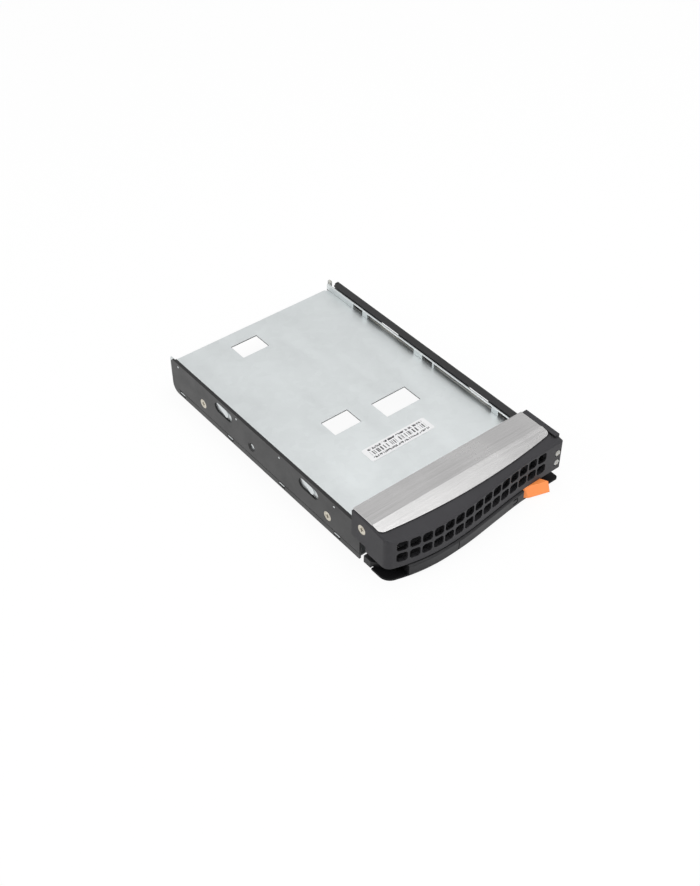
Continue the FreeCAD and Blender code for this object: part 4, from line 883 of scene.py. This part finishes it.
@dataclass
class Studio:
    """A plain pale floor, soft lamps, an even surround and the camera.

    Lengths are in metres. The ceiling and surround are strengths of the world's light, and
    the slope is the span of rises over which what shiny surfaces show goes from the pale
    floor to the ceiling.
    """

    floor_size: float = 6.0
    paper: Colour = (0.9, 0.9, 0.9)
    paper_white: float = 1.02
    plain_share: float = 0.9
    surround: float = 0.42
    ceiling: float = 0.7
    slope: Span = (0.05, 0.6)
    lens: float = 52.8
    sensor: float = 36.0
    nearest: float = 0.01
    eye: tuple[float, float, float] = (-0.30965, -0.3745, 0.4396)
    ahead: tuple[float, float, float] = (0.4633, 0.5724, -0.6765)
    upward: tuple[float, float, float] = (0.4230, 0.5279, 0.7364)
    lamps: Sequence[SoftBox] = field(
        default_factory=lambda: (
            SoftBox("top_box", (0.15, -0.1, 1.2), 1.0, 6.3),
            SoftBox("back_box", (0.47, 0.29, 1.03), 0.35, 0.18),
            SoftBox("left_box", (-1.1, 0.1, 0.8), 0.8, 3.0),
            SoftBox("front_box", (0.2, -1.1, 0.6), 0.8, 3.0),
        )
    )

    def white_share(self, bench: Bench) -> Socket:
        """1 for rays from the camera or by way of a glossy or clear surface."""
        path = bench.add("ShaderNodeLightPath").outputs
        seen = bench.math("MAXIMUM", path["Is Camera Ray"], path["Is Glossy Ray"])
        return bench.math("MAXIMUM", seen, path["Is Transmission Ray"])

    def floor_paper(self) -> bpy.types.Material:
        """Pale paper that is nearly plain white where it is seen, and keeps a soft shadow."""
        material = bpy.data.materials.new("studio_paper")
        bench = Bench.clear(material)
        out = bench.add("ShaderNodeOutputMaterial")
        paper = bench.add("ShaderNodeBsdfDiffuse", {"Color": opaque(self.paper)})
        light = {"Color": opaque(WHITE), "Strength": self.paper_white}
        glow = bench.add("ShaderNodeEmission", light)
        share = bench.math("MULTIPLY", self.white_share(bench), self.plain_share)
        feeds = {0: share, 1: paper.outputs[0], 2: glow.outputs[0]}
        mixed = bench.add("ShaderNodeMixShader", feeds)
        bench.feed(out.inputs["Surface"], mixed.outputs[0])
        return material

    def lay_floor(self, height: float) -> None:
        """Lays the floor under the object at a height."""
        half = self.floor_size / 2
        ends = ((-half, -half), (half, -half), (half, half), (-half, half))
        mesh = bpy.data.meshes.new("studio_floor")
        mesh.from_pydata([(*end, height) for end in ends], [], [(0, 1, 2, 3)])
        mesh.materials.append(self.floor_paper())
        floor = bpy.data.objects.new("studio_floor", mesh)
        bpy.context.scene.collection.objects.link(floor)
        floor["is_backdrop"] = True
        log.info("the floor lies at %.4f", height)

    def light_surround(self) -> None:
        """An even surround: white where it is seen, and dimmer where it lights the object."""
        world = bpy.data.worlds.new("studio_surround")
        bench = Bench.clear(world)
        out = bench.add("ShaderNodeOutputWorld")
        path = bench.add("ShaderNodeLightPath").outputs
        rise = bench.axes(bench.add("ShaderNodeTexCoord").outputs["Generated"])[2]
        sky = bench.span(rise, self.slope, (1.0, self.ceiling))
        mirrored = bench.math("MAXIMUM", path["Is Glossy Ray"], path["Is Transmission Ray"])
        feeds = {"Factor": mirrored, 2: self.surround, 3: sky}
        strength = bench.add("ShaderNodeMix", feeds, data_type="FLOAT").outputs[0]
        seen = bench.math("MAXIMUM", strength, path["Is Camera Ray"])
        light = bench.add("ShaderNodeBackground", {"Color": opaque(WHITE), "Strength": seen})
        bench.feed(out.inputs["Surface"], light.outputs[0])
        bpy.context.scene.world = world

    def set_camera(self) -> None:
        """Stands the camera at its eye point."""
        data = bpy.data.cameras.new("studio_camera")
        data.lens = self.lens
        data.sensor_width = self.sensor
        data.clip_start = self.nearest
        camera = bpy.data.objects.new("studio_camera", data)
        back = -Vector(self.ahead).normalized()
        side = Vector(self.upward).cross(back).normalized()
        turn = Matrix((side, back.cross(side), back)).transposed().to_4x4()
        camera.matrix_world = Matrix.Translation(self.eye) @ turn
        bpy.context.scene.collection.objects.link(camera)
        bpy.context.scene.camera = camera

    def build(self) -> None:
        """Sets up the floor, the lamps, the surround and the camera."""
        low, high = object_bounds()
        self.lay_floor(low.z)
        for lamp in self.lamps:
            lamp.hang((low + high) / 2)
        self.light_surround()
        self.set_camera()
        bpy.context.scene.view_settings.view_transform = "Standard"


def main() -> None:
    """Builds each sub-assembly in order, then the studio."""
    logging.basicConfig(level=logging.INFO, format="%(message)s")
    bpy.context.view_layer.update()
    for part in (Tray(), Bezel(), LightGuides(), Handle(), Release(), AssetLabel()):
        part.build()
    Studio().build()


if __name__ == "__main__":
    main()
